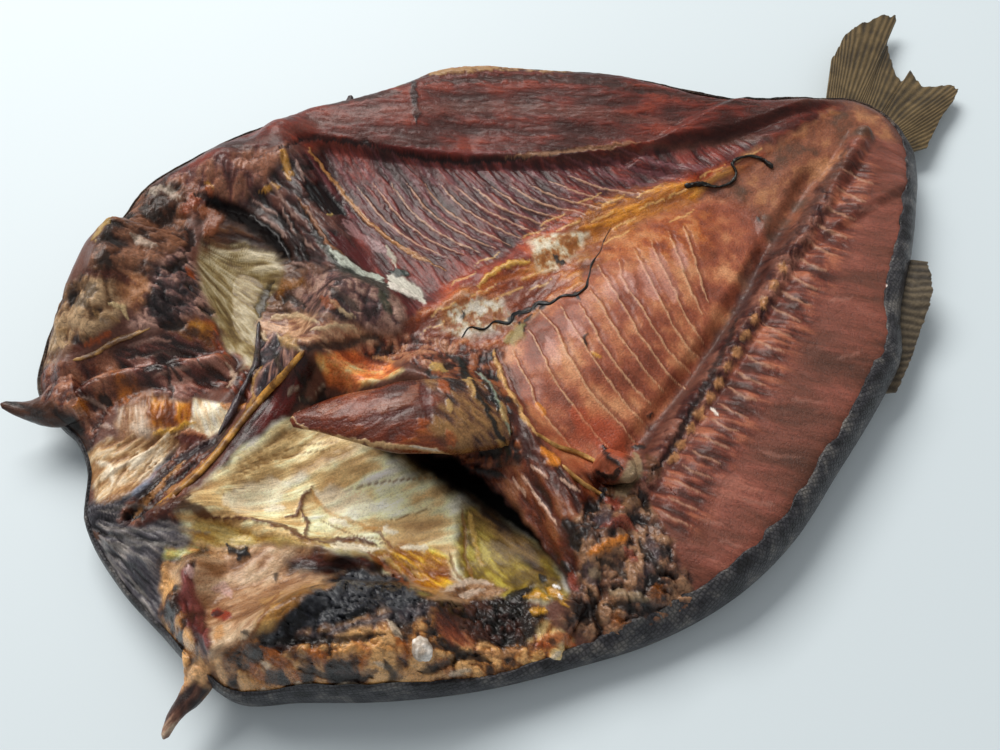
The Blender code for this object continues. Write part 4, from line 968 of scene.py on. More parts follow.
MARKS: tuple[Mark, ...] = strokes(
    # Left flank: cut edge, fan of fibres and ribs, with painted shade and light on them.
    # Dark and pale stripes of the fan: shallow grooves and ridges with painted shade and painted light.
    ("34141c", 1.7, -0.35, LEFT_FAN, 0.5, 0.6),
    ("854e54", 2.2, 0.25, moved(LEFT_FAN[::3], 5.0, -1.0), 0.4, 0.75),
    # Painted shadow: a dark line beside each left rib, over a shallow groove.
    ("3c1a1a", 1.9, -0.5, moved(LEFT_RIBS, -2.0, 3.0), 0.5, 0.7),
    ("c89a7c", 0.9, 0.5, LEFT_RIBS, 0.75, 0.8),
    ("b88048", 1.8, 0.6, "308,148 342,191 372,225 407,251 445,270", 0.85, 0.8),
    ("8a5a38", 2.0, 0.7, "298,198 312,218 325,240 345,258 356,270", 0.9, 0.6),
    ("5a1e20", 6.0, -0.5, "330,232 350,250 372,268", 0.7, 0.7),
    ("a88080", 5.0, 0.2, "344,222 366,240 384,250", 0.6, 0.8),
    ("1c1213", 2.6, -1.0, "280,148 308,138 336,140 367,143 397,152 445,160 488,161 540,154 620,145", 0.9),
    ("6c2420", 3.0, 0.2, "372,144 400,148 450,153 510,152", 0.7),
    ("a87a58", 2.0, 0.5, "505,157 545,153 590,148 640,142", 0.6),
    ("0c0a0c", 11.0, -1.6, "306,184 320,196 334,205 344,211", 1.0, 0.6),
    ("17110f", 4.0, -0.5, "300,168 312,168", 0.9),
    ("a08a50", 2.0, 0.6, "326,214 333,214", 0.9),
    # Silver and green strip at the pelvic fins.
    ("2a3028", 6.5, -0.2, "318,242 338,260 362,275 384,288 388,304", 0.85, 0.6),
    ("c0c6b8", 2.6, 0.7, "322,244 340,259 362,272 384,280", 1.0, 0.7),
    ("cfcbbd", 6.0, 0.5, "388,278 402,284 414,292 424,302", 0.95),
    ("e4ddd0", 2.4, 0.8, "388,284 404,292 418,300"),
    ("28332e", 4.6, 0.6, "390,272 400,273 410,276", 1.0, 0.6),
    ("bcb4a2", 2.4, 0.4, "386,246 392,256 396,268", 0.8),
    ("39402f", 4.0, 0.2, "380,290 386,305 392,312", 0.8, 0.6),
    # Belly fat, the painted reflections on its ripples, darker dashes and the arc over it.
    ("d8a848", 3.2, 1.0, "478,287 492,273 508,265 530,262", 0.8, 0.9),
    ("a8561c", 3.4, -0.5, "470,300 490,284 512,276 540,274", 0.7, 0.8),
    # Painted reflections: thin pale dashes along the ripples of the fat.
    ("e8b870", 0.9, 0.3, stamped("0,0 9,-6 17,-8 26,-14", "556,232 590,224 600,208 636,198 612,230 640,210 "
        "520,240 474,266 450,286 496,300 526,293 604,244 664,200 700,178 736,162 668,224 430,316 470,298 "
        "540,226 576,206 420,334 520,282"), 0.6, 0.95),
    ("7a3c16", 1.1, -0.4, stamped("0,0 10,-5 19,-8 30,-15", "556,236 596,214 636,203 610,236 516,246 "
        "470,272 446,294 500,306 664,206 720,174 424,326 462,306 535,232"), 0.5, 0.8),
    ("14161a", 2.2, 0.3, ("518,316 528,309 540,304", "524,322 532,314", "540,310 548,300",
        "508,322 514,314", "572,292 580,298"), 0.95, 0.6),
    ("141414", 3.2, 0.4, ("553,256 558,262 564,265", "520,312 530,308 542,303", "518,322 526,330",
        "462,312 464,318"), 0.95, 0.7),
    ("9a8c54", 7.0, 0.6, "506,342 516,336 522,326", 0.8),
    # Right flank: furrows between the ribs, darkened with painted shade, then the ribs.
    ("7c3c2a", 2.2, -0.6, moved(RIGHT_RIBS, 3.0, -1.0), 0.6, 0.6),
    ("d8a880", 0.95, 0.5, RIGHT_RIBS, 0.75, 0.8),
    ("d8a868", 2.2, 0.7, RIGHT_RIBS[:1], 0.9, 0.7),
    # Painted highlights: broad pale pink strokes where the rib bed catches the light.
    ("d8a294", 7.0, 0.2, ("652,250 664,275 676,300", "676,245 684,268", "622,272 632,292",
        "640,262 648,280 656,300", "606,280 616,300", "570,322 580,338", "548,340 560,362"), 0.4, 0.8),
    ("b8461c", 16.0, 0.0, "575,412 600,430 622,452", 0.45, 0.7),
    ("a84820", 14.0, 0.0, "560,440 590,462", 0.4, 0.7),
    ("d07c24", 4.6, 0.7, "541,448 550,456 560,464", 1.0, 0.8),
    ("d8862c", 3.0, 0.5, "536,404 548,416", 0.8, 0.8),
    ("d89c3c", 2.0, 0.5, "592,350 602,358", 0.8, 0.8),
    ("1a1614", 1.4, 0.5, "590,332 584,338 588,346", 0.9),
    ("121214", 3.0, 0.9, ("602,447 610,459 624,468", "596,470 612,478 620,470", "606,488 598,506",
        "634,446 646,448", "650,412 650,416"), 0.95, 0.6),
    ("968264", 7.5, 1.0, "636,455 634,470 626,484 616,498", 0.85),
    ("5a3a24", 8.0, -0.4, "648,455 654,468 648,480", 0.8),
    ("3c2a2a", 8.0, -0.8, "764,252 750,272 744,296 740,318", 0.6, 0.6),
    ("241818", 3.4, -1.2, "738,318 726,345 713,372 698,400 686,424 672,448 652,472", 0.85),
    ("7a3c26", 4.0, 0.5, "703,192 739,204 757,218 763,244 750,272", 0.5, 0.6),
    ("161312", 3.0, 0.4, "757,218 760,222", 0.9),
    ("c28a58", 5.0, 0.9, stamped("-3,4 3,-4", "782,268 773,286 764,303 754,320 746,336 737,352 728,368 "
        "719,383 709,399 700,414 691,429 682,444 673,458"), 0.7, 0.6),
    ("b4856a", 1.4, 0.4, stamped("0,0 14,8 30,14", "844,170 836,188 826,206 817,224 808,242 799,258 "
        "790,275 781,291 772,307 763,323 754,339 745,355 736,371 727,387 718,403 709,418 700,434 691,449 "
        "682,464 674,480 668,496 662,512"), 0.65, 0.6),
    ("3a211c", 2.0, -0.5, stamped("3,9 16,16 28,21", "836,188 817,224 799,258 781,291 763,323 745,355 "
        "727,387 709,418 691,449 674,480 662,512"), 0.5),
    ("3a2420", 4.5, -0.8, "848,146 830,176 815,202 795,233 778,256", 0.6),
    # Painted glints: two tiny near-white dots.
    ("e8dcd0", 2.0, 0.4, "712,408 718,416", 1.0, 0.9),
    ("e8e0d8", 1.6, 0.4, "886,286 889,288", 1.0, 0.9),
    ("a06c5c", 2.2, 0.2, ("760,452 800,458", "742,500 776,506", "790,400 824,402", "830,300 852,298",
        "838,360 862,352", "720,540 744,548", "860,210 880,206", "700,520 724,524"), 0.4, 0.8),
    # Left rim.
    ("b08a5c", 3.0, 0.6, "420,76 470,69 520,66 572,72", 0.85),
    ("2e1c16", 4.0, -0.3, ("424,84 470,80 540,78 615,84 680,96 760,106", "300,104 340,100 400,92",
        "160,182 200,152 250,124"), 0.7),
    ("140f10", 4.0, 0.3, "412,80 414,96 418,122", 0.85, 0.6),
    ("76783c", 2.6, 0.4, "370,88 405,82", 0.7),
    # Painted sheen: a soft pinkish band along the left loin.
    ("7c4a3e", 6.0, 0.3, "230,150 330,120 440,108 560,110 680,124", 0.35, 0.7),
    ("462420", 4.0, -0.4, "250,160 340,132 450,128 560,132 700,138 800,122", 0.6),
    # Left shoulder and collar.
    ("c0882e", 4.0, 0.6, ("262,190 278,186", "282,150 290,180", "205,184 214,190"), 0.8, 0.8),
    ("a8501c", 4.5, 0.6, "206,186 212,196", 0.8, 0.8),
    ("9c4a24", 6.0, 0.8, "182,214 192,204 200,200", 0.8, 0.8),
    ("8c4a22", 7.0, 0.9, "196,210 208,212 216,218 204,234", 0.85, 0.8),
    ("0d0c0e", 4.0, -0.8, ("186,226 190,240 184,252", "196,196 220,202 246,214"), 0.85, 0.3),
    # Painted shade: black band in the recess under the left shoulder, without gloss.
    ("0a0607", 9.0, -0.5, "208,204 238,214 264,230 286,252", 0.85, 0.05),
    ("a48478", 1.7, 0.5, ("268,180 282,200 300,222", "280,205 296,232 316,250", "252,200 276,214",
        "290,262 310,268", "296,160 304,180", "262,216 288,238"), 0.7, 0.7),
    ("0e0b0c", 2.4, -0.8, ("284,210 300,236 308,262", "300,204 318,236 334,258", "250,214 280,238 290,262",
        "296,244 302,262"), 0.8, 0.6),
    # Throat.
    ("14100f", 4.5, -0.9, ("282,298 294,300 304,306", "328,286 344,300 362,312", "300,346 340,344 378,336",
        "258,316 262,300 274,282"), 0.8, 0.7),
    ("d4b890", 2.6, 0.7, ("270,320 292,316 318,322", "312,330 336,326 360,332", "276,334 290,344 304,352",
        "330,300 344,312 356,318", "262,332 268,342"), 0.8, 0.7),
    ("b8905a", 7.0, 0.8, "282,338 296,346", 0.7, 0.6),
    ("9c4f22", 6.0, 0.5, "322,300 338,306", 0.6, 0.7),
    # Left half of the head.
    ("b08c46", 2.6, 0.5, "94,240 108,220 124,202", 0.9, 0.6),
    ("25221e", 7.0, -0.5, ("96,254 108,262", "142,210 162,216", "72,296 84,306", "96,284 86,296"), 0.65,
        0.6),
    ("c4b4a2", 4.0, 0.5, ("132,236 146,244 158,244", "148,194 166,190 180,200", "100,318 112,324",
        "120,210 134,202"), 0.6, 0.6),
    ("56281c", 4.5, -0.4, ("84,272 106,274 128,280", "44,360 64,352 84,346"), 0.75),
    ("e8cc98", 2.8, 0.8, "110,304 122,308 127,318", 0.9, 0.6),
    ("b08858", 3.4, 0.5, ("92,310 108,320 120,320", "54,338 66,328"), 0.7, 0.6),
    # Painted shadow: near-black strokes under the overhanging flap's lower rim and in deep hollows.
    ("0e0a0a", 5.0, -1.2, ("160,326 172,326 184,322", "200,308 212,314", "162,268 178,268 184,256",
        "100,396 112,404"), 0.9, 0.7),
    ("a84e1a", 3.0, 0.4, ("84,346 100,338 112,330", "188,270 196,280"), 0.8, 0.7),
    ("a88070", 2.0, 0.4, ("126,348 150,340 172,340", "134,360 160,352 186,354", "150,378 168,372 190,366",
        "176,384 192,378"), 0.6, 0.95),
    ("160a09", 2.4, -0.8, ("124,358 156,352 196,356", "140,372 166,364 182,380", "168,368 172,398",
        "196,360 214,372 226,380"), 0.8, 0.9),
    ("c8ac94", 2.6, 0.8, "224,362 234,374 228,386", 0.8, 0.8),
    ("a8621f", 9.0, 1.6, "76,408 88,410", 0.9, 0.9),
    ("3c1a14", 3.6, -0.8, ("66,400 74,398 92,398 96,412", "92,430 104,420"), 0.8, 0.9),
    ("b89a8a", 2.2, 0.4, ("80,396 94,400 108,412", "100,424 112,430"), 0.6, 0.9),
    ("e0a838", 2.8, 0.6, "152,434 172,429 196,422", 0.9, 0.9),
    ("8a4a1c", 2.4, 0.7, "151,396 150,412 158,420 166,412 166,398", 0.8, 0.8),
    ("cc7c2c", 3.0, 0.7, "222,404 236,408 246,404", 0.8, 0.9),
    ("5a1e12", 6.0, 0.8, "176,438 190,440 204,436", 0.9, 0.8),
    ("c0764c", 3.0, 1.0, "182,434 196,432 208,438", 0.8, 0.8),
    ("2a1c20", 4.6, 0.8, "176,462 194,452 214,442", 0.9, 0.6),
    ("20100c", 2.2, -0.8, ("124,520 150,484 176,456", "140,520 168,486 196,462", "160,520 190,494"), 0.8,
        0.7),
    ("b88048", 2.4, 0.7, ("132,518 158,486 184,462", "152,516 180,488 206,462", "166,494 178,484"), 0.75,
        0.8),
    ("fff4dc", 2.6, 0.3, ("96,462 112,470 110,486", "130,470 146,456"), 0.6, 0.7),
    ("7c5428", 1.3, -0.4, ("120,500 140,474 160,450", "104,506 118,480 134,452", "96,500 100,478",
        "130,492 156,466"), 0.6, 0.6),
    # Chin wrinkles.
    ("86807a", 1.7, 0.4, ("100,512 140,506 180,512", "96,524 130,530 170,530 210,532",
        "98,540 130,552 158,566", "100,552 126,576 150,600", "112,545 150,545 190,540",
        "104,534 140,540 176,550"), 0.55, 0.7),
    ("0d0c0f", 2.4, -0.6, ("96,518 136,516 180,522", "98,532 136,538 176,544", "98,546 128,564 152,586",
        "104,560 124,588 150,612"), 0.7, 0.6),
    ("5c3a26", 3.6, 0.3, "94,530 98,540", 0.9),
    # Bowl of the right gill.
    ("4a1e10", 7.0, 1.0, "140,524 160,512 180,506 204,512 216,518", 0.9, 0.7),
    ("5c2812", 2.6, 0.8, ("214,517 260,521 290,530 304,538 330,541 360,539 386,546",
        "312,484 303,500 297,514 284,518", "303,512 307,526 305,538"), 0.9, 0.7),
    ("c88a3c", 2.0, 0.5, "310,486 316,500 330,512 352,522 384,530", 0.6, 0.7),
    ("8c6434", 1.0, -0.3, ("334,496 360,487 398,480 436,478", "252,462 300,446 340,442",
        "232,480 280,458 330,450", "222,496 262,480", "320,520 352,534 384,540",
        "390,520 420,512 432,508"), 0.75),
    ("fff8e2", 13.0, 0.2, ("318,494 346,502 374,508", "226,500 256,496 286,486"), 0.5),
    ("fff6dc", 3.0, 0.3, ("384,528 396,532", "330,520 350,526", "262,508 286,508", "400,546 428,548",
        "332,545 380,550"), 0.8, 0.8),
    ("7a5018", 2.0, -0.6, ("462,506 465,534 466,560 474,584", "448,552 456,572 470,590"), 0.8, 0.6),
    ("c8a050", 2.6, 0.5, ("470,512 474,540 482,566", "404,560 424,580", "384,556 402,572"), 0.6, 0.7),
    ("7c3c14", 2.4, -0.5, ("368,552 392,572 410,588", "396,556 420,570 452,576",
        "374,530 386,540 392,548"), 0.75, 0.7),
    ("c89024", 4.0, 0.9, ("524,600 536,594 548,600", "548,588 560,598 568,606", "530,612 548,610"), 0.85,
        1.0),
    ("0d0b0c", 3.4, 0.6, ("540,576 546,580", "508,600 520,592 528,588", "474,470 490,472 504,478",
        "560,560 572,574"), 0.95, 0.7),
    # Painted glints: tiny white dots.
    ("ffffff", 1.6, 0.5, ("554,586 560,588", "558,596 562,600"), 0.9, 1.0),
    # Arch, rakers and crust.
    ("b8883c", 1.6, 0.6, ("258,404 252,392 262,366", "246,410 254,398"), 0.7, 0.7),
    ("a49280", 1.8, 0.5, ("286,396 294,388 302,390", "300,400 314,398", "276,356 282,372",
        "316,394 326,384"), 0.7, 0.9),
    ("0d0b0d", 4.0, -0.6, ("274,350 280,366 278,380", "296,372 306,384", "300,398 316,402 326,388",
        "374,348 388,352 392,344", "446,352 462,366 470,378", "330,398 310,404"), 0.85, 0.7),
    ("e8a468", 1.7, 0.5, ("326,360 346,364 370,366", "330,372 352,376", "370,356 396,362"), 0.7, 0.9),
    ("141b18", 4.4, 0.9, ("459,358 466,374 478,392 490,410", "488,412 498,430 510,456", "484,380 492,396"),
        0.95, 0.6),
    # Painted highlight: a grey-green line along the dark strand.
    ("94a090", 1.6, 0.8, ("476,372 488,382 496,400 504,420", "500,424 508,440"), 0.8, 0.6),
    ("c8a45c", 4.0, 0.9, ("470,380 480,390 484,398", "430,366 446,370", "500,440 508,432",
        "448,446 460,452", "496,404 504,414"), 0.8, 0.7),
    # Right collar and shoulder.
    ("3c140e", 3.4, -0.6, ("520,470 540,496 560,530 576,570", "530,450 560,480 590,500",
        "516,400 520,430 528,456"), 0.7, 0.6),
    ("dcb49c", 1.5, 0.4, ("520,474 534,492 548,516", "540,500 556,526", "530,466 548,478",
        "558,476 580,492", "512,478 526,496"), 0.7, 0.9),
    ("c8761e", 5.6, 1.0, "588,556 604,548 628,538", 0.9, 0.9),
    ("8c4030", 5.0, 0.8, ("602,526 618,522 634,530", "626,550 636,562", "570,574 578,592",
        "606,500 622,508"), 0.8, 0.9),
    ("473d44", 7.0, -0.9, ("648,536 653,556 646,576", "587,564 595,586", "612,512 596,522"), 0.75, 0.7),
    ("8c5020", 7.0, 0.6, ("611,615 624,624", "656,586 658,600"), 0.8, 0.9),
    ("1c1210", 8.0, -1.0, ("573,604 592,622", "640,620 620,640"), 0.8, 0.6),
    ("0a090a", 8.0, -0.8, ("584,505 597,510", "564,520 573,534 578,550"), 0.95, 0.6),
    ("a08a6e", 5.0, 0.8, ("610,590 628,596 648,600", "590,570 600,578"), 0.7, 0.6),
    ("120c0b", 4.0, -1.2, ("596,560 612,566 628,580", "604,606 624,606 640,616", "640,540 652,560 668,580",
        "590,590 596,610 600,636", "640,490 650,516"), 0.85, 0.7),
    ("a8501e", 7.0, 0.9, "538,646 548,640 562,638 574,646", 0.85, 0.9),
    ("e0d0b8", 3.2, 0.5, "548,662 560,652", 0.8, 0.6),
    ("0f0c0c", 3.6, -0.5, "548,640 556,642", 0.8, 0.7),
    # Right half of the head.
    ("121418", 3.8, 0.9, ("226,546 236,552 250,556", "236,560 246,550"), 0.95, 0.7),
    ("8a2216", 5.0, 0.3, "214,612 222,614 230,616", 0.9, 0.8),
    ("d8b0a8", 4.0, 0.5, ("214,590 224,588 230,598", "192,578 188,566"), 0.6, 0.8),
    ("1a1716", 3.0, 0.3, ("242,630 248,634", "214,614 224,612", "276,572 276,580"), 0.8),
    ("7c4a22", 2.0, 0.4, ("234,660 256,628 270,604 282,590", "220,664 244,640"), 0.8, 0.6),
    ("a85a18", 6.0, 0.6, ("262,650 284,664 300,680", "352,640 366,652 362,668", "306,652 330,660",
        "252,664 262,684", "396,640 410,656", "440,660 452,676"), 0.7, 0.9),
    ("3a1c12", 6.0, -0.6, ("276,650 300,656 312,668", "336,672 360,676 376,670", "404,660 396,680",
        "436,684 470,680", "320,694 360,696"), 0.7, 0.8),
    ("c88a48", 5.0, 0.6, ("250,680 270,690 300,690", "330,660 352,650 364,652", "216,640 222,626",
        "372,640 392,650", "400,672 430,680"), 0.6, 0.8),
    ("e2cdb2", 3.0, 0.6, ("262,662 272,668", "296,684 312,686", "388,620 400,640", "376,662 392,668",
        "258,690 280,694", "450,676 470,670", "336,684 366,686", "404,700 440,696"), 0.7, 0.7),
    ("100b09", 4.2, -1.2, ("262,644 300,640 350,640 384,634", "300,668 330,676 372,676",
        "384,660 392,676 384,690", "226,690 236,676", "420,672 446,664 470,652",
        "440,640 470,656 490,662"), 0.85, 0.7),
    ("2c2a2e", 4.0, -0.2, "240,706 300,706 380,702 460,698", 0.8),
    ("b07c4c", 4.0, 0.5, ("478,652 500,654 520,652", "440,694 476,684"), 0.8, 0.7),
    ("cbb6a4", 3.0, 0.4, ("440,592 470,582 494,584", "460,596 484,592"), 0.7, 0.6),
)
TONGUE_MARKS: tuple[Mark, ...] = strokes(
    ("d0ac7c", 2.6, 0.4, "289,417 306,428 328,437 352,440 385,446 420,448 450,458 480,474", 0.85, 0.7),
    ("e8dcc8", 1.2, 0.2, ("290,412 300,410", "296,404 310,400", "410,446 440,452"), 0.9, 0.8),
    ("4e1712", 4.0, -0.4, ("300,424 330,424 370,420 410,408", "340,384 380,376 410,374",
        "400,432 430,438 456,446", "420,376 426,400 432,424"), 0.6, 0.9),
    # Painted highlights on the tongue's upper face.
    ("a86848", 6.0, 0.3, ("374,408 394,404 412,394 418,384", "346,394 372,388", "318,412 340,406"), 0.35,
        1.0),
    ("a8521e", 5.0, 0.5, ("420,420 428,424", "446,430 456,446", "440,380 450,392"), 0.7, 0.9),
    ("0e1210", 3.0, 0.8, ("459,358 466,374 478,394 488,412 498,432 510,456", "478,372 490,390 500,410"),
        0.95, 0.8),
    # Painted highlight: a grey-green line along the dark strand.
    ("8c9a84", 1.5, 1.0, "486,376 496,396 506,420 512,440", 0.8, 0.7),
    ("c8a060", 2.4, 0.6, ("456,372 470,384 474,396", "496,440 510,452", "448,400 452,412",
        "500,400 508,424"), 0.7, 0.8),
)


def refined(grid: Points, rows: np.ndarray, columns: np.ndarray) -> Points:
    """A grid read at finer rows and columns, with cubic weights over the four nearest lines each way.

    Args:
        grid: Points in rows and columns.
        rows: Places of the new rows, in rows of the grid.
        columns: Places of the new columns.

    Returns:
        The finer grid.
    """
    for axis, places in ((0, rows), (1, columns)):
        padded = np.pad(grid, [(1, 1) if axis == side else (0, 0) for side in range(3)],
                        mode="reflect", reflect_type="odd")
        base = np.clip(np.floor(places).astype(int), 0, grid.shape[axis] - 2)
        step = places - base
        weights = (-0.5 * step ** 3 + step ** 2 - 0.5 * step, 1.5 * step ** 3 - 2.5 * step ** 2 + 1.0,
                   -1.5 * step ** 3 + 2.0 * step ** 2 + 0.5 * step, 0.5 * step ** 3 - 0.5 * step ** 2)
        shape = [-1 if axis == side else 1 for side in range(3)]
        grid = sum(weight.reshape(shape) * np.take(padded, base + tap, axis=axis)
                   for tap, weight in enumerate(weights))
    return grid


def grid_faces(rows: int, columns: int) -> np.ndarray:
    """Quads of a grid of points numbered row by row, facing up where rows run to +X and columns to +Y."""
    corner = (np.arange(rows - 1)[:, None] * columns + np.arange(columns - 1)[None]).ravel()
    return np.stack([corner, corner + columns, corner + columns + 1, corner + 1], axis=1)


def grid_border(rows: int, columns: int) -> np.ndarray:
    """Numbers of a grid's border points, anticlockwise seen from above."""
    number = np.arange(rows * columns).reshape(rows, columns)
    return np.concatenate([number[:-1, 0], number[-1, :-1], number[:0:-1, -1], number[0, :0:-1]])


def ring_faces(outer: np.ndarray, inner: np.ndarray) -> np.ndarray:
    """Quads from one closed ring of points to the next one below or outside it."""
    return np.stack([outer, inner, np.roll(inner, -1), np.roll(outer, -1)], axis=1)


def fan_faces(ring: np.ndarray, point: int) -> np.ndarray:
    """Triangles from one point to a closed ring of points."""
    return np.stack([np.full(len(ring), point), ring, np.roll(ring, -1)], axis=1)


def tube_faces(rows: int, columns: int) -> tuple[np.ndarray, np.ndarray]:
    """Faces of a stack of rings that one point closes at each end.

    Args:
        rows: Number of rings.
        columns: Number of points in a ring. The two end points are numbered after all of them.

    Returns:
        Quads between the rings, and triangles at the two ends.
    """
    number = np.arange(rows * columns).reshape(rows, columns)
    quads = np.concatenate([ring_faces(near, far) for near, far in zip(number[:-1], number[1:])])
    end = rows * columns
    return quads, np.concatenate([fan_faces(number[0], end), fan_faces(number[-1], end + 1)[:, ::-1]])


@dataclass
class Piece:
    """A mesh in the making: points, faces and the paint that its material reads."""

    name: str
    points: Points
    quads: np.ndarray
    triangles: np.ndarray
    colour: np.ndarray
    gloss: np.ndarray | float
    grain: np.ndarray
    crumple: np.ndarray | float = 0.25
    sharp: float = 75.0                 # angle in degrees over which an edge is shaded sharp

    def build(self, material: bpy.types.Material) -> None:
        """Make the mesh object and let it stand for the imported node.

        Args:
            material: The finish of the piece.
        """
        mesh = bpy.data.meshes.new(self.name)
        counts = np.concatenate([np.full(len(self.quads), 4), np.full(len(self.triangles), 3)])
        loops = np.concatenate([self.quads.ravel(), self.triangles.ravel()]).astype(np.int32)
        mesh.vertices.add(len(self.points))
        inside = np.clip(self.points, BOX_LOW, BOX_HIGH)
        mesh.vertices.foreach_set("co", ((inside - FRAME_ORIGIN) * MM).astype(np.float32).ravel())
        mesh.loops.add(len(loops))
        mesh.loops.foreach_set("vertex_index", loops)
        mesh.polygons.add(len(counts))
        starts = np.concatenate([[0], np.cumsum(counts)[:-1]]).astype(np.int32)
        mesh.polygons.foreach_set("loop_start", starts)
        mesh.update(calc_edges=True)
        self.add_paint(mesh)
        mesh.polygons.foreach_set("use_smooth", np.ones(len(counts), bool))
        mesh.set_sharp_from_angle(angle=math.radians(self.sharp))
        mesh.materials.append(material)
        piece = bpy.data.objects.new(self.name, mesh)
        bpy.context.scene.collection.objects.link(piece)
        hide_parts(NODE)
        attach(piece, BODY)
        LOG.info("%s: %d triangles", self.name, 2 * len(self.quads) + len(self.triangles))

    def add_paint(self, mesh: bpy.types.Mesh) -> None:
        """Store colour, gloss, crumple and grain on the mesh's points.

        Args:
            mesh: The piece's own mesh.
        """
        ones = np.ones(len(self.points))
        for name, kind, key, values in (
                ("tint", "FLOAT_COLOR", "color", np.column_stack([self.colour, ones])),
                ("gloss", "FLOAT", "value", self.gloss * ones),
                ("crumple", "FLOAT", "value", self.crumple * ones),
                ("grain", "FLOAT_VECTOR", "vector", self.grain)):
            mesh.attributes.new(name, kind, "POINT").data.foreach_set(key, values.ravel())


@dataclass(frozen=True)
class Nodes:
    """Short hands for building a node tree."""

    tree: bpy.types.NodeTree

    def add(self, kind: str, **inputs: object) -> bpy.types.Node:
        """A node with values or links on its inputs.

        Args:
            kind: The node's type name, without ShaderNode.
            inputs: Input names with _ for a space, i0 and i1 for numbered inputs, or set_ and an option.

        Returns:
            The new node.
        """
        node = self.tree.nodes.new("ShaderNode" + kind)
        for name, value in inputs.items():
            if name.startswith("set_"):
                setattr(node, name[4:], value)
                continue
            key = int(name[1:]) if name[0] == "i" and name[1:].isdigit() else name.replace("_", " ")
            if isinstance(value, bpy.types.NodeSocket):
                self.tree.links.new(value, node.inputs[key])
            else:
                node.inputs[key].default_value = value
        return node

    def read(self, name: str, output: str = "Fac") -> bpy.types.NodeSocket:
        """The value of one of the mesh's own attributes."""
        return self.add("Attribute", set_attribute_name=name).outputs[output]

    def place(self) -> bpy.types.NodeSocket:
        """The place of a point of the object."""
        return self.add("TexCoord").outputs["Object"]

    def sums(self, operation: str, *values: object) -> bpy.types.NodeSocket:
        """The result of an operation on values or links."""
        inputs = {f"i{at}": value for at, value in enumerate(values)}
        return self.add("Math", set_operation=operation, **inputs).outputs[0]

    def spread(self, value: bpy.types.NodeSocket, source: tuple[float, float],
               target: tuple[float, float], kind: str = "LINEAR") -> bpy.types.NodeSocket:
        """A value carried from one range to another.

        Args:
            value: The value.
            source: The range that it comes from.
            target: The range that it goes to.
            kind: How it is eased in between.

        Returns:
            The carried value.
        """
        return self.add("MapRange", set_interpolation_type=kind, Value=value, From_Min=source[0],
                        From_Max=source[1], To_Min=target[0], To_Max=target[1]).outputs[0]

    def noise(self, place: bpy.types.NodeSocket, scale: float, detail: float, roughness: float,
              distortion: float = 0.0) -> bpy.types.NodeSocket:
        """Soft noise at a place."""
        return self.add("TexNoise", Vector=place, Scale=scale, Detail=detail, Roughness=roughness,
                        Distortion=distortion).outputs["Fac"]


@dataclass(frozen=True)
class TissueFinish:
    """Dried tissue: painted colour with fine mottling, an oily coat and a fine relief along its grain."""

    name: str
    fine: float = 1100.0        # fine noise per metre
    speckle: float = 0.30       # how strongly the fine noise shades the colour
    uneven: float = 0.09        # how much the fine noise changes the roughness
    bump: float = 0.55
    bump_depth: float = 0.0005
    level: float = 0.22         # specular level
    coat: float = 0.16
    coat_roughness: float = 0.2
    rough_low: float = 0.22
    rough_high: float = 0.62
    crack_scale: float = 170.0  # cracks per metre
    crack_width: float = 0.035
    crack_shade: float = 0.45   # how much darker a crack is in crumpled flesh
    crack_depth: float = 1.2    # of a crack, against the relief's height

    def material(self) -> bpy.types.Material:
        """The finish as a node material.

        Returns:
            A material that reads the piece's tint, gloss, crumple and grain.
        """
        made = bpy.data.materials.new(self.name)
        made.use_nodes = True
        shader = made.node_tree.nodes["Principled BSDF"]
        nodes = Nodes(made.node_tree)
        gloss = nodes.read("gloss")
        height, fine = self.surface(nodes)
        crack = self.crack(nodes)
        shade = nodes.spread(height, (0.7, 1.3), (1.0 - self.speckle, 1.0 + self.speckle))
        cut = nodes.sums("MULTIPLY_ADD", crack, -self.crack_shade, 1.0)
        painted = nodes.add("VectorMath", set_operation="SCALE", i0=nodes.read("tint", "Color"),
                            Scale=nodes.sums("MULTIPLY", shade, cut))
        rough = nodes.spread(gloss, (0.0, 1.0), (self.rough_high, self.rough_low))
        uneven = nodes.spread(fine, (0.3, 0.7), (-self.uneven, self.uneven))
        groove = nodes.sums("MULTIPLY_ADD", crack, -self.crack_depth, height)
        relief = nodes.add("Bump", Height=groove, Strength=self.bump, Distance=self.bump_depth)
        inputs = {"Base Color": painted.outputs[0], "Roughness": nodes.sums("ADD", rough, uneven),
                  "Normal": relief.outputs[0],
                  "Specular IOR Level": nodes.sums("MULTIPLY", gloss, 2.0 * self.level),
                  "Coat Weight": nodes.sums("MULTIPLY", gloss, 2.0 * self.coat)}
        for name, value in inputs.items():
            made.node_tree.links.new(value, shader.inputs[name])
        shader.inputs["Coat Roughness"].default_value = self.coat_roughness
        return made

    def crack(self, nodes: Nodes) -> bpy.types.NodeSocket:
        """How far a point lies in a crack: where a noise is near its middle value, in crumpled flesh.

        Args:
            nodes: The node tree being built.

        Returns:
            A value from 0 to 1.
        """
        noise = nodes.noise(nodes.place(), self.crack_scale, 5.0, 0.62, 0.5)
        away = nodes.sums("ABSOLUTE", nodes.sums("SUBTRACT", noise, 0.5))
        closed = nodes.spread(away, (0.0, self.crack_width), (1.0, 0.0), "SMOOTHSTEP")
        return nodes.sums("MULTIPLY", closed, nodes.read("crumple"))

    def surface(self, nodes: Nodes) -> tuple[bpy.types.NodeSocket, bpy.types.NodeSocket]:
        """Height and fine noise: mottling in place and streaks along the painted grain.

        Args:
            nodes: The node tree being built.

        Returns:
            The height and the fine noise.
        """
        mottle = nodes.noise(nodes.place(), self.fine, 3.0, 0.65)
        streak = nodes.noise(nodes.read("grain", "Vector"), 0.9, 4.0, 0.6)
        return nodes.sums("ADD", mottle, streak), mottle


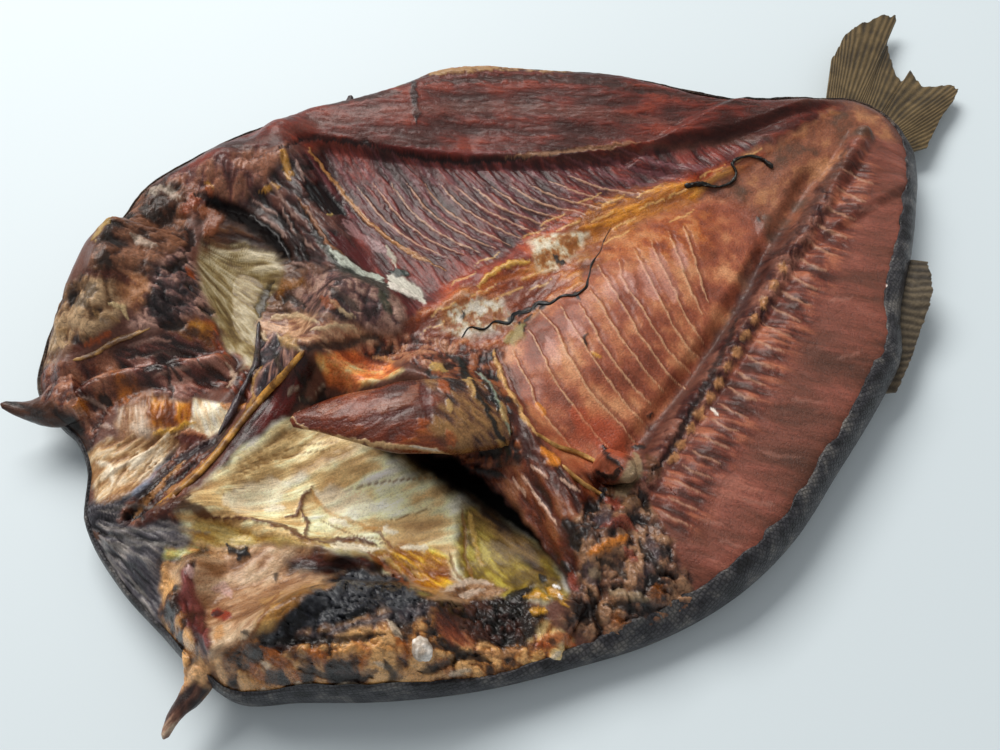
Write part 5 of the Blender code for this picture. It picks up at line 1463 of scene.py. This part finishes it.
@dataclass(frozen=True)
class ScaleFinish(TissueFinish):
    """Dried skin: small diamond scales over the grain, darker in the grooves between them."""

    scale_size: float = 1.9     # mm across a scale
    slant: float = 38.0         # degrees from the grain to a row of scales

    def surface(self, nodes: Nodes) -> tuple[bpy.types.NodeSocket, bpy.types.NodeSocket]:
        """Height and fine noise: a staggered lattice of rounded scales with wrinkles over it.

        Args:
            nodes: The node tree being built.

        Returns:
            The height and the fine noise.
        """
        grain = nodes.read("grain", "Vector")
        turned = nodes.add("Mapping", Vector=grain, Rotation=(0.0, 0.0, math.radians(self.slant)))
        cells = nodes.add("TexVoronoi", set_feature="DISTANCE_TO_EDGE", set_voronoi_dimensions="2D",
                          Vector=turned.outputs[0], Scale=1.0 / self.scale_size, Randomness=0.35)
        scale = nodes.spread(cells.outputs["Distance"], (0.0, 0.28), (0.0, 0.75))
        wrinkle = nodes.noise(grain, 0.25, 5.0, 0.65)
        return nodes.sums("ADD", scale, wrinkle), nodes.noise(nodes.place(), self.fine, 3.0, 0.65)


@dataclass(frozen=True)
class Flesh:
    """The upper face of the body, as closed sheets that meet along lines across the fish."""

    splits: tuple[float, ...] = (0.0, 0.22, 0.46, 0.72, 1.0)
    names: tuple[str, ...] = ("snout_flesh", "gill_flesh", "rib_flesh", "tail_flesh")
    cells: tuple[int, int] = (208, 376)
    inside: float = 0.996               # the flesh stays this much inside the rim, for the skin round it
    thinnest: float = 2.4               # of the flesh over the skin
    inset: float = 1.3                  # height of its hidden foot over the skin's outside
    rings: tuple[float, ...] = (0.006, 0.066, 0.156, 0.306, 0.556)      # of the foot, as shares inward
    hidden_tone: str = "3a2824"

    def face(self, start: float, end: float,
             cells: tuple[int, int]) -> tuple[Points, np.ndarray, np.ndarray]:
        """A stretch of the upper face, without its painted relief.

        Args:
            start: Share of the fish's length where it starts.
            end: Share where it ends.
            cells: Number of cells along and across.

        Returns:
            Points row by row, the rim's height beside each, and its distance from the rim.
        """
        coarse = SHAPE.patch()
        rows = np.linspace(start, end, cells[0] + 1) * (coarse.shape[0] - 1)
        columns = np.linspace(0.0, 1.0, cells[1] + 1) * (coarse.shape[1] - 1)
        x, y, rim = refined(coarse, rows, columns).reshape(-1, 3).T
        inward = SHAPE.inward(x, y)
        height = SHAPE.face_height(x, y, rim, inward)
        middle = SHAPE.middle[:, None]
        plan = middle + (np.stack([x, y]) - middle) * self.inside
        return np.stack([*plan, height], axis=1), rim, inward

    def sheet(self, name: str, start: float, end: float, cells: tuple[int, int]) -> Piece:
        """A closed sheet between two shares of the length.

        The face is the refined patch lifted by the forms and the painted relief. Its border drops to a
        hidden foot, rings of the border drawn in towards one middle point just above the skin.

        Args:
            name: Name of the sheet.
            start: Share of the fish's length where it starts.
            end: Share where it ends.
            cells: Number of cells along and across.

        Returns:
            The sheet, ready to build.
        """
        points, rim, inward = self.face(start, end, cells)
        paint = paint_face(points)
        points[:, 2] += paint.relief * smooth(inward / 5.0)
        points[:, 2] = np.maximum(points[:, 2], SHAPE.foot(rim, inward) + self.thinnest)
        size = (cells[0] + 1, cells[1] + 1)
        border = grid_border(*size)
        edge, edge_rim = points[border], rim[border]
        middle = points[:, :2].mean(axis=0)
        layers, faces = [points], [grid_faces(*size)]
        previous, count = border, len(points)
        for share in self.rings:
            ring = edge.copy()
            ring[:, :2] += (middle - ring[:, :2]) * share
            depth = SHAPE.inward(ring[:, 0], ring[:, 1])
            ring[:, 2] = np.minimum(SHAPE.foot(edge_rim, depth) + self.inset, edge[:, 2] - 0.5)
            numbers = count + np.arange(len(ring))
            faces.append(ring_faces(previous, numbers))
            layers.append(ring)
            previous, count = numbers, count + len(ring)
        layers.append(np.array([[*middle, self.inset]]))
        extra = count + 1 - len(points)
        colour = np.vstack([paint.colour, np.tile(linear(self.hidden_tone), (extra, 1))])
        return Piece(name, np.concatenate(layers), np.concatenate(faces),
                     fan_faces(previous, count)[:, ::-1], colour,
                     np.append(paint.gloss, np.full(extra, 0.3)),
                     np.vstack([paint.grain, np.zeros((extra, 3))]),
                     np.append(paint.crumple, np.zeros(extra)))

    def build(self, material: bpy.types.Material) -> None:
        """The four sheets, from the snout to the tail.

        Args:
            material: The finish of the flesh.
        """
        share = 1.0
        cells = (int(self.cells[0] * share), int(self.cells[1] * share))
        for name, start, end in zip(self.names, self.splits[:-1], self.splits[1:]):
            self.sheet(name, start, end, cells).build(material)


class Ground:
    """Finds the point of the upper face that is seen at a pixel."""

    def __init__(self, flesh: Flesh) -> None:
        self.points = flesh.face(0.0, 1.0, (240, 200))[0]
        self.across, self.down = SIGHT.pixels(self.points)

    def at(self, pixel: Pixel) -> np.ndarray:
        """The highest point of the face within a few pixels.

        Args:
            pixel: Pixel across and down.

        Returns:
            The point, in mm.
        """
        away = np.hypot(self.across - pixel[0], self.down - pixel[1])
        close = np.flatnonzero(away < max(3.0, away.min() + 0.1))
        return self.points[close[np.argmax(self.points[close, 2])]]

    def path(self, trace: str, lift: float) -> Points:
        """Points a little over the face along some pixels."""
        return np.array([self.at(pixel) + np.array([0.0, 0.0, lift]) for pixel in pixels(trace)])


@dataclass(frozen=True)
class Skin:
    """The scaly skin: a closed bowl under the flesh, rolled over the rim."""

    around: int = 1000
    # Width in mm that is seen over the flesh, at shares of the right, tail, left and head stretches.
    bands: tuple = (((0.0, 2.5), (0.2, 3.5), (0.34, 9.0), (1.0, 13.0)),
                    ((0.0, 13.0), (0.5, 7.0), (1.0, 4.0)),
                    ((0.0, 4.0), (0.35, 3.0), (1.0, 2.5)), ((0.0, 2.5), (1.0, 2.5)))
    thickness: float = 0.75
    lip: float = 1.3                    # width over which the band's edge thins out
    gloss: float = 0.45
    foot_shares: tuple[float, ...] = (0.1, 0.2, 0.3, 0.4, 0.5, 0.58, 0.66, 0.72, 0.78, 0.83, 0.87,
                                      0.9, 0.93, 0.955, 0.975, 0.99)
    inner_shares: tuple[float, ...] = (0.985, 0.96, 0.9, 0.75, 0.5, 0.25)
    wall_steps: int = 5
    band_steps: int = 26
    right_tones: tuple[str, ...] = ("201f20", "36353a", "4b4a4c", "6e6a66")
    left_tones: tuple[str, ...] = ("1f1714", "33261f", "47372c", "6c5744")

    def widths(self) -> np.ndarray:
        """Width of the band at each point of the rim line."""
        shares = np.linspace(0.0, 1.0, 120)
        return np.concatenate([np.interp(shares, *np.array(band).T) for band in self.bands])

    def rim(self) -> tuple[Points, np.ndarray, np.ndarray]:
        """Evenly spaced points of the rim, their directions inward and their band widths.

        Returns:
            The points, the directions in plan and the widths, one for each point.
        """
        line, width = SHAPE.rim(), self.widths()
        closed = np.vstack([line, line[:1]])
        run = np.concatenate([[0.0], np.cumsum(np.linalg.norm(np.diff(closed, axis=0), axis=1))])
        count, step = ((self.around, 18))
        place = np.linspace(0.0, run[-1], count, endpoint=False)
        points = np.stack([np.interp(place, run, closed[:, axis]) for axis in range(3)], axis=1)
        width = np.interp(place, run, np.append(width, width[0]))
        way = np.roll(points, -step, axis=0) - np.roll(points, step, axis=0)
        inward = np.stack([-way[:, 1], way[:, 0]], axis=1)
        inward /= np.linalg.norm(inward, axis=1)[:, None]
        return points, inward, width

    def band(self, rim: Points, inward: np.ndarray, width: np.ndarray, noise: Noise) -> list[Points]:
        """Rings of the skin that lies over the flesh, from the rim inward.

        Args:
            rim: Points of the rim.
            inward: Direction in plan from each of them to the flesh.
            width: Width of the band at each of them.
            noise: Soft noise for its ragged edge and its folds.

        Returns:
            Rings of points, a skin's thickness over the face and thinned out at the edge.
        """
        rings = []
        x, y, rim_height = rim.T
        fray = noise.cloud(x / 12.0, y / 12.0, 3)
        for share in np.linspace(0.0, 1.0, self.band_steps + 1)[1:]:
            depth = width * share ** 1.3
            plan = rim[:, :2] + inward * (depth + share * width * 0.15 * fray)[:, None]
            true_depth = SHAPE.inward(plan[:, 0], plan[:, 1])
            top = SHAPE.face_height(plan[:, 0], plan[:, 1], rim_height, true_depth)
            fold = noise.cloud(x / 4.0 + 3 * share, y / 4.0, 3) * np.minimum(width / 8.0, 1.0)
            over = self.thickness * (1.0 - smooth((depth - (width - self.lip)) / self.lip) * 2.2)
            rings.append(np.column_stack([plan, top + over + 0.45 * fold * smooth(4 * share)]))
        return rings

    def piece(self) -> Piece:
        """The closed shell.

        Rings run from the middle of the underside out to the rim, up its wall, over the flesh for the
        band's width, and back inside to the middle at a skin's thickness over the first rings. The
        grain is laid out flat: the plan of the foot, then the true length up the wall and over the rim.

        Returns:
            The skin, ready to build.
        """
        rim, inward, width = self.rim()
        middle, noise = SHAPE.middle, Noise(77)
        rings, flat = [], []
        for share in self.foot_shares:
            plan = middle + (rim[:, :2] - middle) * share
            depth = SHAPE.inward(plan[:, 0], plan[:, 1])
            rings.append(np.column_stack([plan, SHAPE.foot(rim[:, 2], depth)]))
            flat.append(plan)
        for share in np.linspace(0.0, 1.0, self.wall_steps):
            lift = SHAPE.rim_tuck * share
            rings.append(np.column_stack([rim[:, :2], rim[:, 2] - SHAPE.rim_tuck + lift]))
        rings.extend(self.band(rim, inward, width, noise))
        outside = np.array(rings[len(self.foot_shares):])
        steps = np.linalg.norm(np.diff(outside, axis=0, prepend=outside[:1]), axis=2)
        flat.extend(rim[:, :2] - inward * run[:, None] for run in np.cumsum(steps, axis=0))
        last = rings[-1]
        for share in self.inner_shares:
            plan = middle + (last[:, :2] - middle) * share
            depth = SHAPE.inward(plan[:, 0], plan[:, 1])
            height = SHAPE.foot(rim[:, 2], depth) + self.thickness
            rings.append(np.column_stack([plan, np.minimum(height, last[:, 2] - 0.4)]))
            flat.append(plan)
        quads, ends = tube_faces(len(rings), len(rim))
        points = np.concatenate([*rings, [[*middle, 0.0], [*middle, self.thickness]]])
        laid = np.concatenate([*flat, [middle, middle]])
        return Piece("skin", points, quads[:, ::-1], ends[:, ::-1], self.colours(laid, noise),
                     self.gloss, np.column_stack([laid, np.zeros(len(laid))]))

    def colours(self, flat: Points, noise: Noise) -> np.ndarray:
        """Charcoal at the right flank and darker brown elsewhere, mottled on the skin laid out flat.

        Args:
            flat: Each point on the skin laid out flat.
            noise: Soft noise for the mottling.

        Returns:
            A linear colour for each point.
        """
        x, y = flat.T
        tone = 0.5 + 0.5 * np.tanh(1.2 * noise.cloud(x / 7.0, y / 7.0, 5, 0.7))
        lean = smooth((y + 0.16 * x - 20.0) / 60.0)[:, None]
        right, left = (shaded(tone, tones, (0.1, 0.4, 0.7, 0.95))
                       for tones in (self.right_tones, self.left_tones))
        return right + (left - right) * lean


@dataclass(frozen=True)
class Taper:
    """A round or pressed piece that swells and tapers along a curve."""

    name: str
    radii: tuple[float, ...]
    path: tuple = ()                    # points in mm
    trace: str = ""                     # or photograph pixels that it lies along on the face
    lift: float = 0.0
    flatness: float = 1.0
    colours: tuple[str, str] | None = None      # dark and light, or the face's own fields
    gloss: float = 0.5
    rough: float = 0.12                 # unevenness, as a share of the radius
    steps: tuple[int, int] = (60, 16)
    fields: tuple[Field, ...] = FIELDS
    marks: tuple[Mark, ...] = MARKS

    def piece(self, ground: Ground, seed: int) -> Piece:
        """Rings of an ellipse carried along the curve, closed by a point at each end.

        Args:
            ground: Where the face is seen, for a piece that lies on it.
            seed: Seed of its unevenness.

        Returns:
            The piece, ready to build.
        """
        share = np.linspace(0.0, 1.0, self.steps[0])
        centre = curve_through(self.path or ground.path(self.trace, self.lift), share)
        way = np.gradient(centre, axis=0)
        way /= np.linalg.norm(way, axis=1)[:, None]
        side = np.cross(way, [0.0, 0.0, 1.0])
        side /= np.linalg.norm(side, axis=1)[:, None]
        rise = np.cross(side, way)
        radius = np.interp(share, np.linspace(0.0, 1.0, len(self.radii)), self.radii)
        nearest_end = np.minimum(share, 1.0 - share)
        radius = radius * np.sqrt(np.clip(nearest_end * self.steps[0] / 3.0, 0.1, 1.0))
        angle = np.linspace(0.0, 2.0 * math.pi, self.steps[1], endpoint=False)
        length = np.linalg.norm(np.diff(centre, axis=0), axis=1).sum()
        knots = min(14.0, length / (1.2 * radius.max())) * share[:, None]
        lumps = Noise(seed).cloud(knots + np.cos(angle), np.sin(angle) + 0.0 * knots, 3)
        ring = (np.cos(angle)[None, :, None] * side[:, None]
                + self.flatness * np.sin(angle)[None, :, None] * rise[:, None])
        rings = centre[:, None] + (radius[:, None] * (1.0 + self.rough * lumps))[..., None] * ring
        ends = (centre[0] - way[0] * radius[0] * 0.5, centre[-1] + way[-1] * radius[-1] * 0.5)
        points = np.concatenate([rings.reshape(-1, 3), ends])
        quads, triangles = tube_faces(*self.steps)
        if self.colours is None:
            paint = paint_face(points, self.fields, self.marks)
            points[:, 2] += paint.relief
            return Piece(self.name, points, quads, triangles, paint.colour, paint.gloss, paint.grain,
                         paint.crumple)
        dark, light = (linear(code) for code in self.colours)
        along = np.append(np.repeat(share, self.steps[1]), [0.0, 1.0])
        about = np.append(np.tile(np.sin(angle), self.steps[0]), [0.0, 0.0])
        x, y, z = points.T / 3.5
        tone = smooth(0.5 + 0.7 * Noise(seed + 1).cloud(x + 0.6 * z, y - 0.7 * z, 4))[:, None]
        grain = np.column_stack([along * 8.0, about * radius.max(), np.zeros(len(along))])
        return Piece(self.name, points, quads, triangles, dark + (light - dark) * tone, self.gloss, grain)


@dataclass(frozen=True)
class Fin:
    """A thin fan of fin rays between its root line and its ragged tip line."""

    name: str
    root: tuple
    tips: tuple
    rays: int
    tones: tuple[str, str, str]
    thickness: float = 1.3
    wave: float = 1.6
    ragged: float = 0.06
    sunk: float = 0.12                  # share of its reach that is hidden in the body
    gloss: float = 0.4
    steps: tuple[int, int] = (34, 240)

    def piece(self, seed: int) -> Piece:
        """Two ruled sheets, ribbed by the rays, joined round their border.

        Args:
            seed: Seed of its ragged tips and blots.

        Returns:
            The fin, ready to build.
        """
        noise = Noise(seed)
        across = np.linspace(0.0, 1.0, self.steps[1])
        low, high = curve_through(self.root, across), curve_through(self.tips, across)
        reach = 1.0 - self.ragged * (0.5 + 0.5 * noise.cloud(across * 55.0, 0 * across, 3))
        share, turn = np.meshgrid(np.linspace(-self.sunk, 1.0, self.steps[0]), across, indexing="ij")
        points = low[None] + (share * reach[None])[..., None] * (high - low)[None]
        open_share = np.clip(share, 0.0, 1.0)
        phase = self.rays * turn + 0.25 * noise.cloud(turn * 9.0, share * 2.0, 2)
        ray = 0.5 + 0.5 * np.cos(2.0 * math.pi * phase)
        points[..., 2] += self.wave * np.sin(9.0 * turn) * open_share
        half = 0.5 * self.thickness * (1.0 - 0.6 * open_share)
        top, bottom = points.copy(), points.copy()
        top[..., 2] += half + 0.42 * ray
        bottom[..., 2] -= half + 0.25 * ray
        rows, columns = self.steps
        count = rows * columns
        lengthwise = top[-1, columns // 2] - top[0, columns // 2]
        order = -1 if np.cross(lengthwise, top[rows // 2, -1] - top[rows // 2, 0])[2] < 0 else 1
        border = grid_border(rows, columns)
        face, wall = grid_faces(rows, columns)[:, ::order], ring_faces(border, border + count)[:, ::order]
        blot = 0.5 + 0.5 * np.tanh(1.5 * noise.cloud(points[..., 0] / 9.0, points[..., 1] / 9.0, 4))
        shade = shaded(0.55 * ray + 0.45 * blot, self.tones, (0.0, 0.5, 1.0))
        grain = np.stack([share * 12.0, turn * self.rays * 2.0, 0.0 * share], axis=-1)
        return Piece(self.name, np.concatenate([top.reshape(-1, 3), bottom.reshape(-1, 3)]),
                     np.concatenate([face, face[:, ::-1] + count, wall]), np.zeros((0, 3), int),
                     np.tile(shade.reshape(-1, 3), (2, 1)), self.gloss,
                     np.tile(grain.reshape(-1, 3), (2, 1)))


@dataclass(frozen=True)
class Lens:
    """The dried white lens of the eye: a ball with a dull, uneven surface."""

    centre: tuple[float, float, float] = (96.6, -139.6, 38.0)
    radius: float = 4.7
    stretch: tuple[float, float, float] = (0.78, 0.98, 1.0)
    dark: str = "b9aa9a"
    light: str = "f4ede4"
    gloss: float = 0.55
    rows: int = 22
    columns: int = 36

    def piece(self) -> Piece:
        """Rings of latitude between two poles, swollen here and there by soft noise.

        Returns:
            The lens, ready to build.
        """
        polar = np.linspace(0.0, math.pi, self.rows + 2)[1:-1, None]
        turn = np.linspace(0.0, 2.0 * math.pi, self.columns, endpoint=False)[None]
        east, north = np.sin(polar) * np.cos(turn), np.sin(polar) * np.sin(turn)
        way = np.stack([east, north, np.cos(polar) + 0 * turn], axis=-1)
        uneven = 1.0 + 0.12 * Noise(5).cloud(2.2 * east + 7.0, 2.2 * north + 1.6 * way[..., 2], 3)
        rings = np.array(self.centre) + self.radius * uneven[..., None] * way * np.array(self.stretch)
        ends = np.array(self.centre) + np.array([[0, 0, self.radius], [0, 0, -self.radius]])
        points = np.concatenate([rings.reshape(-1, 3), ends])
        tone = smooth(0.5 + 0.8 * Noise(6).cloud(points[:, 0] / 2.0, points[:, 1] / 2.0, 3))
        return Piece("eye_lens", points, *tube_faces(self.rows, self.columns),
                     shaded(tone, (self.dark, self.light), (0.0, 1.0)), self.gloss, points * 0.5)


def paint_face(points: Points, fields: tuple[Field, ...] = FIELDS,
               marks: tuple[Mark, ...] = MARKS) -> Paint:
    """Paint of points of the fish, from every field and mark in order.

    Args:
        points: The points, in mm.
        fields: Fields of flesh, each over those before it.
        marks: Strokes over them.

    Returns:
        The paint of each point.
    """
    paint = Paint(*SIGHT.pixels(points), points[:, 0], points[:, 1])
    for number, part in enumerate(fields):
        paint.add_field(part, 100 + number)
    for mark in marks:
        paint.add_mark(mark)
    return paint


@dataclass(frozen=True)
class Fish:
    """The whole fish, built piece by piece."""

    fins: tuple[Fin, ...] = (
        Fin("tail_fin", ((462, 18, 15), (470, 6, 14), (474, -12, 13), (470, -36, 12)),
            ((497, 48, 15), (538, 66, 13), (572, 61, 12), (549, 46, 10), (536, 30, 10), (529, 14, 9),
             (541, 18, 9), (536, 4, 8), (553, -7, 8), (512, -28, 9), (488, -40, 11)),
            38, ("332b22", "56482f", "7c6847")),
        Fin("dorsal_fin", ((404, -92, 15), (378, -112, 15), (350, -134, 14), (330, -142, 13)),
            ((412, -104, 19), (398, -119, 18), (372, -135, 15), (344, -149, 12)), 18,
            ("2e2a25", "51483b", "6e624f")))
    tapers: tuple[Taper, ...] = (
        Taper("left_snout_spike", (13, 10, 5, 1.4),
              ((24, 44, 23), (8, 46, 21), (-4, 54, 20), (-10.5, 59.5, 23)), flatness=0.8, rough=0.1,
              steps=(90, 60)),
        Taper("right_snout_spike", (10, 6, 3, 1.3),
              ((30, -94, 22), (20, -102, 19), (10, -107, 19), (3, -112, 17)), rough=0.15, steps=(80, 48)),
        Taper("shoulder_stub", (8, 7, 3), ((206, -108, 12), (205, -116, 26), (203, -124, 34)),
              rough=0.2, steps=(60, 48)),
        Taper("edge_scrap", (9, 7, 4), ((154, -148, 21), (144, -157, 18), (137, -163, 15)), rough=0.15,
              steps=(60, 44)),
        Taper("left_shoulder_scrap", (5, 3, 1.2), ((212, 154, 21), (214, 159, 25), (217, 163, 27)),
              colours=("1c1518", "4a3436"), rough=0.2, steps=(40, 30)),
        Taper("tongue", (3, 11, 17, 19, 15),
              ((96, -25, 34), (112, -34, 36), (130, -46, 36), (150, -56, 33), (178, -66, 22)),
              flatness=0.48, rough=0.05, steps=(220, 170), fields=TONGUE_FIELDS, marks=TONGUE_MARKS),
        Taper("gill_bone", (1.2, 2.0, 1.9, 1.7, 1.5, 0.9),
              trace="305,351 283,377 262,398 240,425 214,456 184,486 152,508", lift=1.2,
              colours=("6e4516", "c68f3e"), gloss=0.7, flatness=0.7, steps=(120, 18)),
        Taper("dark_strand", (0.7, 1.1, 1.7, 1.1, 1.7, 0.7),
              trace="261,322 257,345 255,362 245,388 234,412 220,436", lift=1.6,
              colours=("0d0b0e", "4a3d42"), gloss=0.8, rough=0.3, steps=(110, 18)),
        Taper("rib_bone", (0.6, 1.2, 1.3, 1.0, 0.4), trace="537,431 556,445 577,453 597,465 613,477",
              lift=0.6, colours=("8a5c24", "d8a860"), gloss=0.7, flatness=0.8, steps=(80, 16)),
        Taper("lower_rib_bone", (0.6, 1.2, 1.2, 0.6), trace="562,466 578,478 595,489 608,495",
              lift=0.6, colours=("8a5c24", "c99a5a"), gloss=0.7, steps=(60, 14)),
        Taper("cheek_bone", (0.6, 1.6, 2.2, 1.8, 0.6), trace="62,364 90,353 112,342 134,333 152,328",
              lift=0.3, colours=("5c3a1a", "b08446"), gloss=0.6, flatness=0.4, steps=(90, 16)),
        Taper("black_vein", (0.15, 0.35, 0.2, 0.45, 0.3, 0.7, 0.4, 1.0, 0.5, 0.9, 0.35, 0.5, 0.2),
              trace="612,230 604,238 598,251 590,262 587,278 584,288 573,295 561,296 549,303 537,301 "
                    "528,312 515,314 508,323 495,320 484,327 470,329 462,338",
              lift=0.2, colours=("0b0b0b", "2e3234"), gloss=0.6, rough=0.9, steps=(220, 14)),
        Taper("black_string", (1.8, 1.5, 0.6, 0.8, 0.8, 0.6, 0.7, 1.0),
              trace="683,188 702,185 716,189 730,187 736,176 731,164 748,159 763,161 774,171",
              lift=0.6, colours=("080808", "2a2a24"), gloss=0.7, rough=0.9, steps=(140, 12)))

    def build(self) -> None:
        """Build flesh, skin, fins, loose ends and the lens in that order."""
        tissue = TissueFinish("smoked_tissue").material()
        scales = ScaleFinish("scaly_skin", bump_depth=0.0007, speckle=0.34, coat=0.12).material()
        flesh = Flesh()
        flesh.build(tissue)
        Skin().piece().build(scales)
        ground = Ground(flesh)
        for number, fin in enumerate(self.fins):
            fin.piece(300 + number).build(tissue)
        for number, taper in enumerate(self.tapers):
            taper.piece(ground, 400 + 3 * number).build(tissue)
        Lens().piece().build(tissue)


@dataclass(frozen=True)
class Studio:
    """Pale table, soft light from the far side, and the camera."""

    floor_colour: tuple[float, float, float, float] = (0.70, 0.79, 0.84, 1.0)
    floor_half: float = 3.0             # half its side, in metres
    sky_colour: tuple[float, float, float, float] = (0.97, 0.97, 0.97, 1.0)
    sky_strength: float = 0.365
    window_colour: tuple[float, float, float] = (1.0, 0.965, 0.92)
    window_power: float = 66.0
    window_size: tuple[float, float] = (2.0, 1.2)
    window_place: tuple[float, float, float] = (-0.95, 1.35, 1.85)     # to the picture's right, away, up

    def build(self) -> None:
        """Make the floor, the sky, the light and the camera."""
        self.add_floor()
        world = bpy.data.worlds.new("soft_sky")
        world.use_nodes = True
        world.node_tree.nodes["Background"].inputs["Color"].default_value = self.sky_colour
        world.node_tree.nodes["Background"].inputs["Strength"].default_value = self.sky_strength
        bpy.context.scene.world = world
        self.add_window()
        bpy.context.scene.camera = SIGHT.camera()
        bpy.context.scene.view_settings.view_transform = "Standard"

    def add_floor(self) -> None:
        """A plain pale table top."""
        mesh = bpy.data.meshes.new("table")
        corners = [(x * self.floor_half, y * self.floor_half, 0)
                   for x, y in ((-1, -1), (1, -1), (1, 1), (-1, 1))]
        mesh.from_pydata(corners, [], [(0, 1, 2, 3)])
        floor = bpy.data.objects.new("table", mesh)
        made = bpy.data.materials.new("pale_table")
        made.use_nodes = True
        shader = made.node_tree.nodes["Principled BSDF"]
        shader.inputs["Base Color"].default_value = self.floor_colour
        shader.inputs["Roughness"].default_value = 0.5
        shader.inputs["Specular IOR Level"].default_value = 0.2
        mesh.materials.append(made)
        bpy.context.scene.collection.objects.link(floor)

    def add_window(self) -> None:
        """A wide soft light over the far side, turned to the fish."""
        right, _, forward = (Vector(axis) for axis in SIGHT.axes())
        level = Vector((forward.x, forward.y, 0.0)).normalized()
        light = bpy.data.lights.new("window", "AREA")
        light.shape = "RECTANGLE"
        light.size, light.size_y = self.window_size
        light.energy = self.window_power
        light.color = self.window_colour
        window = bpy.data.objects.new("window", light)
        window.location = (right * self.window_place[0] + level * self.window_place[1]
                           + Vector((0, 0, self.window_place[2])))
        window.rotation_euler = window.location.to_track_quat("Z", "Y").to_euler()
        bpy.context.scene.collection.objects.link(window)


def main() -> None:
    """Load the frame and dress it."""
    logging.basicConfig(level=logging.INFO, format="%(name)s: %(message)s")
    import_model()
    Studio().build()
    Fish().build()


if __name__ == "__main__":
    main()
